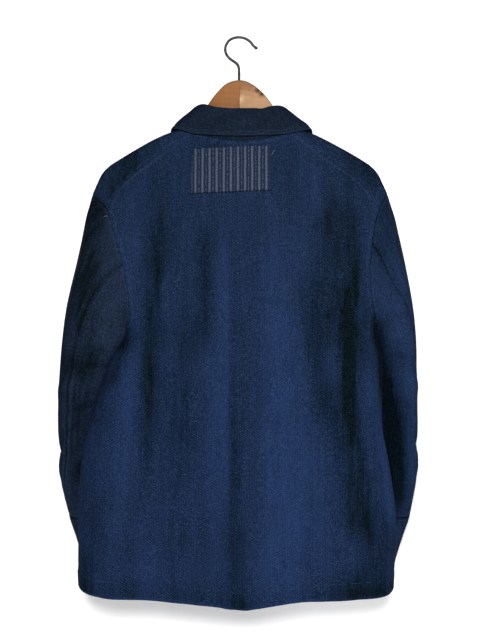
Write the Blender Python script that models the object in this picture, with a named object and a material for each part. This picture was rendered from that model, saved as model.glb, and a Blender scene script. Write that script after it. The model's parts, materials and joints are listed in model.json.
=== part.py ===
"""Patched boro work jacket hanging from a two-piece wooden hanger with a wire hook.

The jacket's front faces -Y, its back faces +Y and the wearer's left is +X.  The origin is
the inside of the hook's crown, where a wall hook or a rod carries the whole object.
Sizes in this file are millimetres; each mesh is scaled to metres once, when it is made.
"""
import math

import bpy
import numpy as np
from mathutils import Vector, geometry

MM = 0.001

# ---------------------------------------------------------------- driving sizes
CLOTH = 2.0                 # body and sleeve wall
PATCH_CLOTH = 1.2
SEAM_GAP = 0.3              # between the cut edges of two sewn pieces
BEND_GAP = 0.6              # past the neck seam and the armholes, where the cloth bends
PATCH_LIFT = 0.6            # patch above the back
PANEL_SPACING = 27.0        # between the inner points of the large panels
RIDGE_ROUND_Y = 10.5        # how far the cloth reaches each side of the shoulder ridge
RIDGE_ROUND_Z = 9.0
RIDGE_RUN = 15.3            # cloth used by a quarter turn at the ridge
SIDE_ROUND = 60.0           # how far in from the side the body starts to turn
SIDE_RUN = 84.0             # cloth used by that quarter turn
LEVEL_MIDDLE = 200.0        # the ridge's mean depth, used while a front is cut into triangles
LEVEL_END = 440.0
LEVEL_FADE = 140.0
NECK_HALF = 85.0
NECK_FILL = 12.0            # extra depth that the collar gives the neck
LAP_HALF = 18.0             # each front reaches this far past the middle
LAP_LIFT = 3.0              # the left front lies this far outside the right one
LAP_START = 48.0            # the left front has no lift beyond this distance from the middle
LAP_RUN = 26.0              # and reaches its full lift this much further in
NECK_FADE_LOW = -330.0      # the collar's extra depth fades out from the neck down to here
NECK_FADE = 130.0
FOLD_FADE = 0.35            # share of a fold's length over which it starts from nothing
RIDGE_FIRST = 100.0         # first of the even steps along the ridge where a front bends over it
RIDGE_STEP = 13.8
RIDGE_STEPS = 10
BUTTON_RADIUS = 8.5
BUTTON_THICK = 3.0
BUTTON_SEAT = 0.5           # gap between a button and the cloth, its thread shank
WIRE_RADIUS = 1.5
TIP_SWELL = 1.6             # the wire's end is rounded into a small ball

# Top line of the shoulders: distance from the middle, height of the cloth's outside.
RIDGE = (("x", "z"),
         (60, -141), (89.5, -143.5), (100, -146.5), (110, -149.5), (127, -156.5), (162, -174.5),
         (194, -193.5), (210, -205), (218, -215), (226, -231), (234, -247), (242, -262),
         (300, -262))

# Depth of each face from the middle plane, by the drop below the shoulder line.
DEPTH = (("drop", "back", "front"),
         (9, 10.5, 10.5), (30, 14, 13.5), (70, 23, 21), (130, 34, 30), (200, 43, 37),
         (300, 49, 41), (450, 53, 43), (600, 56, 44), (760, 58, 45))

# Half width of the body tube on the wearer's left and right.
WIDTH = (("z", "left", "right"),
         (-884, 254, 242), (-842, 256, 244), (-790, 256, 248), (-744, 256, 246), (-687, 252, 238),
         (-647, 248, 231), (-626, 243, 227), (-598, 235, 225), (-558, 224, 226), (-522, 211, 226),
         (-500, 198, 224), (-487, 190, 221), (-472, 185, 217.5), (-460, 186, 216.5),
         (-450, 189.5, 217.6), (-430, 203, 228),
         (-400, 226, 244), (-352, 250, 256), (-326, 256, 260), (-274, 262, 262))

# Soft folds of the two faces: middle line from top to bottom, width and depth (troughs < 0).
FOLDS = {
    "back": (("top_x", "top_z", "low_x", "low_z", "width", "depth"),
             (124, -210, 141, -900, 34, -5.0), (3, -440, 6, -910, 30, -4.5),
             (-172, -370, -186, -860, 26, -7.0), (-110, -250, -158, -880, 42, -4.0),
             (36, -400, 40, -910, 30, 4.0), (-66, -330, -62, -910, 32, 4.5),
             (86, -380, 92, -910, 28, 3.0), (178, -520, 196, -900, 26, 3.5)),
    "front": (("top_x", "top_z", "low_x", "low_z", "width", "depth"),
              (120, -240, 138, -900, 34, -5.0), (-118, -250, -126, -900, 32, -4.5),
              (72, -420, 78, -910, 30, 3.0), (-70, -360, -84, -910, 30, 3.5)),
}

# Armhole seams from the shoulder line down to the underarm: "back" and "front" of each side.
ARMHOLE = {
    ("left", "back"): (("x", "z"), (234, -247), (227.5, -252), (220, -259), (213, -266.5),
                       (206.5, -276), (201, -293), (196, -313), (189, -334), (182.5, -357),
                       (177, -386), (173, -416), (172, -437), (175, -450), (181, -457.5),
                       (186, -460)),
    ("left", "front"): (("x", "z"), (234, -247), (229, -256), (222.5, -269), (215, -286),
                        (208, -306), (201, -331), (194, -359), (187, -390), (181, -419),
                        (177.5, -439), (178.5, -451), (182.5, -457.5), (186, -460)),
    ("right", "back"): (("x", "z"), (234, -247), (229.5, -252), (225, -259), (221, -267),
                        (217.5, -276.5), (212.5, -292), (209, -308), (206, -329), (203.5, -352),
                        (202.5, -375), (204, -399), (207.5, -420), (211.5, -437), (215.5, -447.5),
                        (217.6, -450)),
    ("right", "front"): (("x", "z"), (234, -247), (229, -256), (223.5, -269), (217.5, -286),
                         (212.5, -306), (208.5, -331), (206, -359), (205, -388), (206, -414),
                         (209, -433), (212.5, -443.5), (215.5, -448.5), (217.6, -450)),
}
SEAM_CORNER = 4             # the armhole row where the rear shoulder seam arrives
ELBOW_ROW = {"left": 8, "right": 7}      # the back row where the elbow seam starts
FOREARM_ROW = {"left": 7, "right": 7}    # the front row where the forearm seam starts

# Rear shoulder seam, from the neck out to the armhole corner.
SHOULDER = {
    "left": (("x", "z"), (82, -149), (91, -157), (101, -166.5), (114, -176), (128, -186),
             (143, -197), (158, -208.5), (173, -221), (188, -236), (199, -253), (206.5, -276)),
    "right": (("x", "z"), (82, -149), (92, -155.5), (104, -165), (117, -175.5), (131, -186.5),
              (147, -197.5), (163, -208), (179, -220), (193, -233), (206, -250.5), (217.5, -276.5)),
}

# Neck seam on the back, left to right, and on each front, shoulder to middle.
NECK_BACK = (("x", "z"), (82, -149), (66, -154), (50, -158.5), (33, -162.5), (16, -165), (0, -166),
             (-16, -165.5), (-33, -163.5), (-50, -160), (-66, -155), (-82, -149))
NECK_FRONT = (("x", "drop"), (87.5, 4), (89.5, 0), (89.2, -5), (87, -16), (83, -30), (77, -44),
              (68, -58), (56, -70), (42, -80), (26, -87), (6, -91))

# Hem line: outward distance of each height, wearer's left to right.
HEM = (("x", "z"), (256, -872), (244, -881), (226, -885), (150, -890), (60, -895), (0, -898),
       (-60, -894), (-150, -889), (-226, -886), (-240, -881), (-246, -872))

# Sleeve sections below the armhole: middle, the half axis to the top line (a) and to the
# back line (b).  x runs outward from the wearer's middle on both sides.
SLEEVE = {
    "left": (("cx", "cy", "cz", "ax", "ay", "az", "bx", "by"),
             (219, -4, -382, 28, 0, 88, -4, 46), (230, -9, -417, 27, -3, 69, 7, 50),
             (240, -17, -456, 28, -9, 51, 15, 52), (248, -28, -500, 27, -14, 33, 20, 54),
             (257, -42, -562, 25, -15, 12, 20, 56), (262, -56, -620, 23, -12, 2, 19, 56),
             (254, -66, -662, 25, -14, 0, 26, 50), (246, -80, -712, 22, -20, 0, 36, 42),
             (226, -92, -770, 12, -28, 0, 50, 22)),
    "right": (("cx", "cy", "cz", "ax", "ay", "az", "bx", "by"),
              (237, -5, -376, 10, 0, 86, 4, 46), (244, -12, -410, 13, -4, 67, 12, 50),
              (249, -22, -448, 15, -9, 47, 18, 50), (251, -35, -490, 18, -12, 29, 22, 50),
              (250, -48, -556, 20, -14, 10, 26, 50), (251, -58, -614, 21, -14, 2, 27, 50),
              (248, -68, -660, 22, -17, 0, 30, 46), (240, -80, -712, 20, -21, 0, 38, 40),
              (224, -92, -770, 11, -28, 0, 50, 20)),
}
CUFF_END = {"left": (205, -93, -852, 5, -29, 0, 52, 9), "right": (203, -93, -850, 5, -29, 0, 51, 9)}
SLEEVE_RINGS = 12
CUFF_RINGS = 3

# Collar at each neck point, from the middle of the back round to the middle of the front:
# the fold at the top of the stand (f) and the outer edge of the fall (g), x outward.
COLLAR = (("fx", "fy", "fz", "gx", "gy", "gz"),
          (0, 19, -117, 0, 32, -157.5), (16, 18.5, -117, 17, 31.5, -157.3),
          (33, 16.5, -115.5, 35, 29.5, -156.5), (48, 13.5, -113, 53, 27, -155.2),
          (60, 9.5, -111.5, 71, 23, -153.5), (69, 4.5, -111, 88, 18, -151.3),
          (73, -0.5, -111.5, 102, 10, -149), (75, -5, -112.5, 110.5, 0, -147.6),
          (75, -9, -115.5, 113, -10, -152.5), (73, -12.5, -122, 113, -18, -163),
          (68, -15.5, -132, 110, -21, -178), (60.5, -18.5, -144, 104, -23.5, -194),
          (50.5, -21.5, -158, 95, -27, -210), (39.5, -24.5, -172, 83, -31, -226),
          (27.5, -27.5, -185, 69, -36, -241), (15.5, -30.5, -197, 53, -40, -255),
          (4.5, -33.5, -206, 36, -43.5, -271))
FOLD_OVER = ((-1.9, 2.7), (1.8, 3.0), (4.9, 0.4))    # out and up from the top of the stand
FALL_BOW = 2.5              # how far the fall bows out between its fold and its edge

# Patch: corners on the back, counted along its top and bottom edges.
PATCH = (("x", "z"), (73, -179), (-48.5, -174), (-48.5, -245), (78.5, -250))
PATCH_GRID = (8, 5)

BUTTON_HEIGHTS = (-292, -405, -520, -635, -750)

# Hanger arm: distance from the middle, top edge, height and half thickness of the wood.
ARM = (("x", "top", "height", "half"),
       (0.15, -67, 44, 8.0), (12, -69.5, 44, 8.0), (27, -79, 43, 8.0), (40, -91, 41, 7.6),
       (52, -107, 38, 7.2), (66, -128, 34, 7.0), (78, -144, 30, 7.0), (90, -147.6, 30, 7.0),
       (110, -153.3, 30, 7.0), (127, -160.2, 30, 7.0), (162, -178.3, 28, 6.8),
       (194, -197.8, 24, 6.5), (203, -205, 18, 5.5), (208.5, -213, 6, 2.5))
HOOK = ((0, -94), (0, -80), (0, -66), (0.8, -55), (2.8, -46.5), (8, -40.5), (15, -36), (20.8, -29),
        (23.3, -20), (21.8, -11), (17, -4), (9.5, 0.3), (0, 1.5), (-9, -0.4), (-16, -4.8),
        (-21, -9.6), (-25, -13.3), (-28.6, -16.6))

COLOURS = {"indigo": ((0.014, 0.028, 0.072), 0.9, 0.0), "collar": ((0.009, 0.018, 0.040), 0.9, 0.0),
           "sleeve": ((0.008, 0.015, 0.034), 0.9, 0.0), "patch": ((0.055, 0.06, 0.09), 0.9, 0.0),
           "button": ((0.02, 0.02, 0.025), 0.4, 0.0), "wood_dark": ((0.32, 0.15, 0.07), 0.45, 0.0),
           "wood_light": ((0.45, 0.27, 0.14), 0.4, 0.0), "wire": ((0.03, 0.03, 0.032), 0.4, 0.9)}


# ---------------------------------------------------------------- reading the tables
def rows_of(table):
    """The rows of a table as dictionaries by column name."""
    names = table[0]
    return [dict(zip(names, row)) for row in table[1:]]


def read(table, column, at):
    """One column of a table, smoothly interpolated by its first column."""
    rows = sorted(table[1:])
    pick = table[0].index(column)
    xs = [row[0] for row in rows]
    ys = [row[pick] for row in rows]
    if at <= xs[0]:
        return ys[0]
    if at >= xs[-1]:
        return ys[-1]
    slopes = [(ys[i + 1] - ys[i]) / (xs[i + 1] - xs[i]) for i in range(len(xs) - 1)]

    def tangent(i):
        if i in (0, len(xs) - 1) or slopes[i - 1] * slopes[i] <= 0:
            return 0.0 if 0 < i < len(xs) - 1 else slopes[min(i, len(slopes) - 1)]
        return 2 * slopes[i - 1] * slopes[i] / (slopes[i - 1] + slopes[i])

    i = next(k for k in range(len(xs) - 1) if at <= xs[k + 1])
    width = xs[i + 1] - xs[i]
    t = (at - xs[i]) / width
    return ((2 * t ** 3 - 3 * t ** 2 + 1) * ys[i] + (t ** 3 - 2 * t ** 2 + t) * width * tangent(i)
            + (3 * t ** 2 - 2 * t ** 3) * ys[i + 1] + (t ** 3 - t ** 2) * width * tangent(i + 1))


def ease(t):
    """0 to 1 with level ends."""
    t = min(max(t, 0.0), 1.0)
    return t * t * (3 - 2 * t)


# ---------------------------------------------------------------- the body's shape
def drop_after(run):
    """Height lost and share of the ridge's turn after this much cloth from the ridge."""
    turn = min(run / RIDGE_RUN, 1.0) * math.pi / 2
    return RIDGE_ROUND_Z * (1 - math.cos(turn)) + max(run - RIDGE_RUN, 0.0), turn


def run_for(drop):
    """Cloth used from the ridge down to this drop."""
    if drop >= RIDGE_ROUND_Z:
        return RIDGE_RUN + drop - RIDGE_ROUND_Z
    return RIDGE_RUN * math.acos(1 - max(drop, 0.0) / RIDGE_ROUND_Z) / (math.pi / 2)


def across(p, z):
    """World x of a place p along the cloth from the middle, and how far the side has turned."""
    side = "left" if p >= 0 else "right"
    flat = read(WIDTH, side, z) - SIDE_ROUND
    if abs(p) <= flat:
        return p, 1.0
    turn = min((abs(p) - flat) / SIDE_RUN, 1.0) * math.pi / 2
    return math.copysign(flat + SIDE_ROUND * math.sin(turn), p), math.cos(turn)


def along_cloth(x, z):
    """Place along the cloth from the middle of the body for a world x."""
    side = "left" if x >= 0 else "right"
    flat = read(WIDTH, side, z) - SIDE_ROUND
    if abs(x) <= flat:
        return x
    turn = math.asin(min((abs(x) - flat) / SIDE_ROUND, 1.0))
    return math.copysign(flat + SIDE_RUN * turn / (math.pi / 2), x)


def fold_at(face, x, z):
    """Push of the soft folds at a place on one face."""
    push = 0.0
    for fold in rows_of(FOLDS[face]):
        down = (fold["top_z"] - z) / (fold["top_z"] - fold["low_z"])
        middle = fold["top_x"] + (fold["low_x"] - fold["top_x"]) * down
        push += fold["depth"] * ease(down / FOLD_FADE) * math.exp(-((x - middle) / fold["width"]) ** 2)
    return push


def wall_y(face, x, z, drop, side_turn, ridge_turn=math.pi / 2):
    """Distance of one face of the body from the middle plane."""
    if drop < RIDGE_ROUND_Z:
        depth = RIDGE_ROUND_Y * math.sin(ridge_turn)
    else:
        depth = read(DEPTH, face, drop)
    neck = max(0.0, 1 - (x / NECK_HALF) ** 2) * ease((z - NECK_FADE_LOW) / NECK_FADE)
    return (depth + NECK_FILL * neck + fold_at(face, x, z)) * side_turn


def back_point(p, z):
    """A place on the outside of the back."""
    x, side_turn = across(p, z)
    drop = read(RIDGE, "z", abs(x)) - z
    turn = math.acos(max(1 - drop / RIDGE_ROUND_Z, 0.0)) if drop > 0 else 0.0
    return Vector((x, wall_y("back", x, z, drop, side_turn, turn), z))


def front_point(p, q, side):
    """A place on the outside of a front; q runs up it, over the ridge and down the back."""
    x, side_turn = across(p, q + RIDGE_RUN - RIDGE_ROUND_Z)
    ridge = read(RIDGE, "z", abs(x))
    drop, turn = drop_after(abs(ridge - q))
    z = ridge - drop
    if q > ridge:
        return Vector((x, wall_y("back", x, z, drop, side_turn, turn), z))
    lift = LAP_LIFT * ease((LAP_START - x) / LAP_RUN) if side == "left" else 0.0
    return Vector((x, -wall_y("front", x, z, drop, side_turn, turn) - lift, z))


def front_place(side):
    """The place of one front as a function of p and q."""
    return lambda p, q: front_point(p, q, side)


def front_q(x, z, face):
    """Place up a front's cloth for a world x and height on either face."""
    ridge = read(RIDGE, "z", abs(x))
    run = run_for(ridge - z)
    return ridge + run if face == "back" else ridge - run


def back_place(m, z):
    """The back as it is seen from behind: m runs towards the wearer's right."""
    return back_point(-m, z)


def outward(place, p, v, step=1.5):
    """Unit normal of a cloth surface given by place(p, v), pointing out of the garment."""
    over = place(p + step, v) - place(p - step, v)
    up = place(p, v + step) - place(p, v - step)
    normal = over.cross(up)
    return normal.normalized()


# ---------------------------------------------------------------- making solids
def add_material(obj, look):
    """Give an object the plain material of this look."""
    material = bpy.data.materials.get(look)
    if material is None:
        material = bpy.data.materials.new(look)
        material.use_nodes = True
        shader = material.node_tree.nodes["Principled BSDF"]
        colour, roughness, metallic = COLOURS[look]
        shader.inputs["Base Color"].default_value = (*colour, 1.0)
        shader.inputs["Roughness"].default_value = roughness
        shader.inputs["Metallic"].default_value = metallic
    obj.data.materials.append(material)


def add_mesh(name, points, faces, look):
    """A named object from points in millimetres."""
    mesh = bpy.data.meshes.new(name)
    mesh.from_pydata([Vector(point) * MM for point in points], [], faces)
    mesh.validate()
    obj = bpy.data.objects.new(name, mesh)
    bpy.context.scene.collection.objects.link(obj)
    mesh.shade_smooth()
    mesh.set_sharp_from_angle(angle=math.radians(35))
    add_material(obj, look)
    return obj


def add_wall(name, outer, inner, faces, look):
    """A closed cloth wall from its outer sheet, its inner sheet and the sheet's faces."""
    count = len(outer)
    used = {}
    for face in faces:
        for a, b in zip(face, face[1:] + face[:1]):
            used[(a, b)] = used.get((a, b), 0) + 1
    rim = [(a, b) for (a, b) in used if (b, a) not in used]
    solid = [tuple(face) for face in faces]
    solid += [tuple(index + count for index in reversed(face)) for face in faces]
    solid += [(b, a, a + count, b + count) for a, b in rim]
    return add_mesh(name, list(outer) + list(inner), solid, look)


def grid_faces(columns, rows):
    """Quads of a grid stored row by row, seen with columns to the right and rows up."""
    return [[r * columns + c, r * columns + c + 1, (r + 1) * columns + c + 1, (r + 1) * columns + c]
            for r in range(rows - 1) for c in range(columns - 1)]


def inset_outline(outline, distance):
    """The outline moved in by a distance; it runs anticlockwise."""
    moved = []
    count = len(outline)
    for i, point in enumerate(outline):
        before = (point - outline[i - 1]).normalized()
        after = (outline[(i + 1) % count] - point).normalized()
        lean = (Vector((-before.y, before.x)) + Vector((-after.y, after.x))).normalized()
        share = max(lean.dot(Vector((-after.y, after.x))), 0.5)
        moved.append(point + lean * distance / share)
    return moved


def inside(point, outline):
    """Whether a flat point is inside a closed outline."""
    hit = False
    for a, b in zip(outline, outline[1:] + outline[:1]):
        if (a.y > point.y) != (b.y > point.y):
            if point.x < a.x + (b.x - a.x) * (point.y - a.y) / (b.y - a.y):
                hit = not hit
    return hit


def edge_distance(point, outline):
    """Distance of a flat point from an outline's edges."""
    nearest = 1e9
    for a, b in zip(outline, outline[1:] + outline[:1]):
        spot, share = geometry.intersect_point_line(point, a, b)
        share = min(max(share, 0.0), 1.0)
        nearest = min(nearest, (point - a.lerp(b, share)).length)
    return nearest


def level_ridge(point):
    """Where a front's flat point lies once the shoulder ridge is drawn level."""
    x, _ = across(point.x, point.y)
    slope = read(RIDGE, "z", abs(x)) + LEVEL_MIDDLE
    return Vector((point.x, point.y - slope * ease((point.y + LEVEL_END) / LEVEL_FADE)))


def cut_panel(name, outline, place, seam_walls, extra, look, level=Vector):
    """Cut a panel from its flat outline, drape it with place(p, v) and give it its thickness.

    seam_walls gives the direction through the cloth at outline points that meet another
    surface at an angle; extra holds inner points that follow a fold line, which level()
    straightens while the panel is cut into triangles.
    """
    edge = inset_outline(outline, SEAM_GAP / 2)
    inner = list(extra)
    low = [min(point[k] for point in edge) for k in (0, 1)]
    high = [max(point[k] for point in edge) for k in (0, 1)]
    rows = round((high[1] - low[1]) / (PANEL_SPACING * 0.87))
    columns = round((high[0] - low[0]) / PANEL_SPACING)
    for r in range(1, rows):
        for c in range(columns + 1):
            point = Vector((low[0] + (c + 0.5 * (r % 2)) * (high[0] - low[0]) / columns,
                            low[1] + r * (high[1] - low[1]) / rows))
            if not inside(point, edge) or edge_distance(point, edge) < PANEL_SPACING * 0.55:
                continue
            if any((point - other).length < PANEL_SPACING * 0.6 for other in extra):
                continue
            inner.append(point)
    flat = edge + inner
    loop = list(range(len(edge)))
    cut = geometry.delaunay_2d_cdt([level(point) for point in flat], [], [loop], 1, 1e-6)
    source = [origins[0] for origins in cut[3]]
    faces = [[source[index] for index in face] for face in cut[2]]
    outer = [place(point.x, point.y) for point in flat]
    walls = [-outward(place, point.x, point.y) * CLOTH for point in flat]
    for index, wall in seam_walls.items():
        walls[index] = wall
    return add_wall(name, outer, [a + b for a, b in zip(outer, walls)], faces, look)


# ---------------------------------------------------------------- sleeves
def armhole_ring(side):
    """The armhole seam as one loop: down the back to the underarm and up the front."""
    sign = 1 if side == "left" else -1
    back = [(sign * row["x"], row["z"]) for row in rows_of(ARMHOLE[side, "back"])]
    front = [(sign * row["x"], row["z"]) for row in rows_of(ARMHOLE[side, "front"])]
    loop = [back_point(along_cloth(x, z), z) for x, z in back]
    for x, z in reversed(front[1:-1]):
        p = along_cloth(x, z)
        loop.append(front_point(p, front_q(x, z, "front"), side))
    return loop


def around(side):
    """Angle of each armhole point round the sleeve: 0 on top, 180 at the underarm."""
    loop = armhole_ring(side)
    bottom = len(ARMHOLE[side, "back"]) - 2      # the underarm's place in the loop
    steps = [(loop[(i + 1) % len(loop)] - loop[i]).length for i in range(len(loop))]
    down = sum(steps[:bottom])
    up = sum(steps[bottom:])
    angles = [180 * sum(steps[:i]) / down for i in range(bottom)]
    angles += [180 + 180 * sum(steps[bottom:i]) / up for i in range(bottom, len(loop))]
    return [math.radians(angle) for angle in angles]


def section_point(row, sign, angle):
    """A place on one sleeve section."""
    cx, cy, cz, ax, ay, az, bx, by = row
    across_top = math.cos(angle)
    across_back = math.sin(angle)
    return Vector((sign * (cx + ax * across_top + bx * across_back),
                   cy + ay * across_top + by * across_back, cz + az * across_top))


def blend_rows(rows, t):
    """Smooth blend along a list of section rows, t from 0 to 1."""
    place = t * (len(rows) - 1)
    i = min(int(place), len(rows) - 2)
    f = place - i
    r0, r1, r2, r3 = (np.array(rows[min(max(k, 0), len(rows) - 1)], float)
                      for k in (i - 1, i, i + 1, i + 2))
    return 0.5 * (2 * r1 + (r2 - r0) * f + (2 * r0 - 5 * r1 + 4 * r2 - r3) * f ** 2
                  + (3 * r1 - r0 - 3 * r2 + r3) * f ** 3)


def sleeve_rings(side):
    """Sleeve rings from the armhole to the cuff seam, then the cuff's own rings."""
    sign = 1 if side == "left" else -1
    loop = armhole_ring(side)
    angles = around(side)
    rows = SLEEVE[side][1:]
    rings = [loop]
    for k in range(SLEEVE_RINGS):
        row = blend_rows(rows, k / (SLEEVE_RINGS - 1))
        rings.append([section_point(row, sign, angle) for angle in angles])
    cuff = [rings[-1]]
    for k in range(1, CUFF_RINGS):
        share = k / (CUFF_RINGS - 1)
        row = np.array(rows[-1], float) * (1 - share) + np.array(CUFF_END[side], float) * share
        cuff.append([section_point(row, sign, angle) for angle in angles])
    return rings, cuff


def ring_walls(rings, sign):
    """Directions into the sleeve at each ring point, one wall thick."""
    walls = []
    count = len(rings[0])
    for r, ring in enumerate(rings):
        above = rings[max(r - 1, 0)]
        below = rings[min(r + 1, len(rings) - 1)]
        row = []
        for k in range(count):
            turn = ring[(k + 1) % count] - ring[k - 1]
            down = below[k] - above[k]
            normal = down.cross(turn) * sign
            row.append(-normal.normalized() * CLOTH)
        walls.append(row)
    return walls


def armhole_walls(side):
    """Shared direction through the cloth along the armhole seam, body and sleeve alike."""
    sign = 1 if side == "left" else -1
    rings, _ = sleeve_rings(side)
    sleeve = ring_walls(rings[:3], sign)[0]
    bottom = len(ARMHOLE[side, "back"]) - 2      # the underarm's place in the loop
    shared = []
    for k, point in enumerate(rings[0]):
        p = along_cloth(point.x, point.z)
        if 0 < k < bottom:
            body = -outward(back_place, -p, point.z)
        else:
            q = front_q(point.x, point.z, "front")
            body = -outward(front_place(side), p, q)
        both = (body + sleeve[k].normalized()).normalized()
        shared.append(both * CLOTH / max(both.dot(body), 0.6))
    return shared


def add_sleeve(side):
    """Upper sleeve, under sleeve and cuff of one side."""
    sign = 1 if side == "left" else -1
    rings, cuff = sleeve_rings(side)
    walls = ring_walls(rings + cuff[1:], sign)
    walls[0] = armhole_walls(side)
    cuff_walls = walls[len(rings) - 1:]
    walls = walls[:len(rings)]
    count = len(rings[0])
    elbow = ELBOW_ROW[side]
    forearm = count - FOREARM_ROW[side]
    upper = [k % count for k in range(forearm, count + elbow + 1)]
    under = list(range(elbow, forearm + 1))
    for name, columns in (("sleeve_upper_", upper), ("sleeve_under_", under)):
        add_strip(name + side, rings, walls, columns, sign, "sleeve", False, BEND_GAP)
    add_strip("cuff_" + side, cuff, cuff_walls, list(range(count)), sign, "sleeve", True)


def add_strip(name, rings, walls, columns, sign, look, closed, top_gap=SEAM_GAP / 2):
    """A wall from the given columns of a set of rings, drawn in by half a seam gap."""
    half_gap = SEAM_GAP / 2
    width = len(columns)
    outer = []
    through = []
    for r, ring in enumerate(rings):
        for c, k in enumerate(columns):
            point = ring[k].copy()
            if r == 0:
                point += (rings[1][k] - ring[k]).normalized() * top_gap
            if r == len(rings) - 1:
                point += (rings[-2][k] - ring[k]).normalized() * half_gap
            if not closed and c == 0:
                point += (ring[columns[1]] - ring[k]).normalized() * BEND_GAP / 2
            if not closed and c == width - 1:
                point += (ring[columns[-2]] - ring[k]).normalized() * BEND_GAP / 2
            outer.append(point)
            through.append(walls[r][k])
    faces = []
    for r in range(len(rings) - 1):
        for c in range(width if closed else width - 1):
            d = (c + 1) % width
            face = [r * width + c, r * width + d, (r + 1) * width + d, (r + 1) * width + c]
            faces.append(face if sign < 0 else face[::-1])
    add_wall(name, outer, [a + b for a, b in zip(outer, through)], faces, look)


# ---------------------------------------------------------------- body panels
def side_rows(side):
    """Heights up the side seam from the hem to just under the underarm, for back and front."""
    under = ARMHOLE[side, "back"][-1][1]
    hem = HEM[1][1]
    steps = round((under - hem) / PANEL_SPACING)
    return [hem + (under - hem) * k / steps for k in range(steps)]


def climb(side, face):
    """One side of a panel from the hem up to the neck point, with the armhole's own walls.

    Each entry is the world x, the height, the face it lies on and the direction through the
    cloth where the armhole gives one.
    """
    sign = 1 if side == "left" else -1
    walls = armhole_walls(side)
    back = ARMHOLE[side, "back"][1:]
    front = ARMHOLE[side, "front"][1:]
    steps = [(sign * read(WIDTH, side, z), z, "front", None) for z in side_rows(side)]
    if face == "back":
        steps += [(sign * back[k][0], back[k][1], "back", walls[k])
                  for k in range(len(back) - 1, SEAM_CORNER - 1, -1)]
    else:
        steps.append((sign * front[-1][0], front[-1][1], "front", walls[len(back) - 1]))
        steps += [(sign * front[k][0], front[k][1], "front", walls[-k])
                  for k in range(len(front) - 2, 0, -1)]
        steps += [(sign * back[k][0], back[k][1], "back", walls[k]) for k in range(SEAM_CORNER + 1)]
    steps += [(sign * x, z, "back", None) for x, z in SHOULDER[side][-2:0:-1]]
    return steps


def hem_run(start, end):
    """Hem between two places along the cloth, ends left out."""
    steps = round(abs(end - start) / PANEL_SPACING)
    places = [start + (end - start) * k / steps for k in range(1, steps)]
    return [(p, read(HEM, "z", across(p, HEM[1][1])[0])) for p in places]


def add_back():
    """The back, from the neck and the rear shoulder seams down to the hem."""
    left = [(-along_cloth(x, z), z, wall) for x, z, _, wall in climb("left", "back")]
    right = [(-along_cloth(x, z), z, wall) for x, z, _, wall in climb("right", "back")]
    hem = [(-p, z, None) for p, z in hem_run(-left[0][0], -right[0][0])]
    neck = [(-along_cloth(x, z), z, None) for x, z in NECK_BACK[-2:1:-1]]
    outline = hem + right + neck + left[::-1]
    walls = {k: entry[2] for k, entry in enumerate(outline) if entry[2] is not None}
    flat = [Vector(entry[:2]) for entry in outline]
    cut_panel("back", flat, back_place, walls, [], "indigo")


def neck_line(side):
    """Neck seam of one front, from the shoulder to the middle: world x, height and face."""
    sign = 1 if side == "left" else -1
    return [(sign * x, read(RIDGE, "z", x) - abs(drop), "back" if drop > 0 else "front")
            for x, drop in NECK_FRONT[1:]]


def ridge_points(side):
    """Inner points in rows along the shoulder ridge, so that the cloth turns over roundly."""
    sign = 1 if side == "left" else -1
    points = []
    for k in range(RIDGE_STEPS):
        x = RIDGE_FIRST + RIDGE_STEP * k
        ridge = read(RIDGE, "z", x)
        for run in (-RIDGE_RUN, -RIDGE_RUN / 2, 0, RIDGE_RUN / 2, RIDGE_RUN):
            points.append(Vector((along_cloth(sign * x, ridge), ridge + run)))
    return points


def add_front(side):
    """One front with the part of the shoulder that runs over the hanger to the back."""
    sign = 1 if side == "left" else -1
    lap = -sign * LAP_HALF
    up = [(along_cloth(x, z), front_q(x, z, face), wall)
          for x, z, face, wall in climb(side, "front")]
    neck = [(along_cloth(x, z), front_q(x, z, face), None) for x, z, face in neck_line(side)]
    shift = RIDGE_RUN - RIDGE_ROUND_Z
    hem = [(p, z - shift, None) for p, z in hem_run(lap, up[0][0])]
    top = neck[-1][1] - 1.0
    bottom = read(HEM, "z", lap) - shift
    steps = round((top - bottom) / PANEL_SPACING)
    middle = [(lap, top + (bottom - top) * k / steps, None) for k in range(steps + 1)]
    outline = hem + up + neck + middle
    if side == "right":
        outline.reverse()
    walls = {k: entry[2] for k, entry in enumerate(outline) if entry[2] is not None}
    flat = [Vector(entry[:2]) for entry in outline]
    extra = [point for point in ridge_points(side) if inside(point, flat)
             and edge_distance(point, flat) > 5]
    cut_panel("front_" + side, flat, front_place(side), walls, extra, "indigo", level_ridge)


# ---------------------------------------------------------------- collar, patch, buttons
def neck_stations():
    """Neck seam, fold and fall edge, from the left front round the back to the right front."""
    halves = []
    for side, sign, first in (("left", 1, NECK_BACK[6:0:-1]), ("right", -1, NECK_BACK[6:])):
        line = [(x, z, "back") for x, z in first] + neck_line(side)
        half = []
        for (x, z, face), row in zip(line, rows_of(COLLAR)):
            p = along_cloth(x, z)
            if face == "back":
                seam = back_point(p, z)
            else:
                seam = front_point(p, front_q(x, z, "front"), side)
            half.append((seam, Vector((sign * row["fx"], row["fy"], row["fz"])),
                         Vector((sign * row["gx"], row["gy"], row["gz"]))))
        halves.append(half)
    return halves[0][::-1] + halves[1][1:]


def grid_walls(rows):
    """Directions into a sheet stored as rows of points, columns to the right and rows up."""
    walls = []
    for r, row in enumerate(rows):
        for c in range(len(row)):
            over = row[min(c + 1, len(row) - 1)] - row[max(c - 1, 0)]
            up = rows[min(r + 1, len(rows) - 1)][c] - rows[max(r - 1, 0)][c]
            walls.append(-over.cross(up).normalized() * CLOTH)
    return walls


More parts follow.
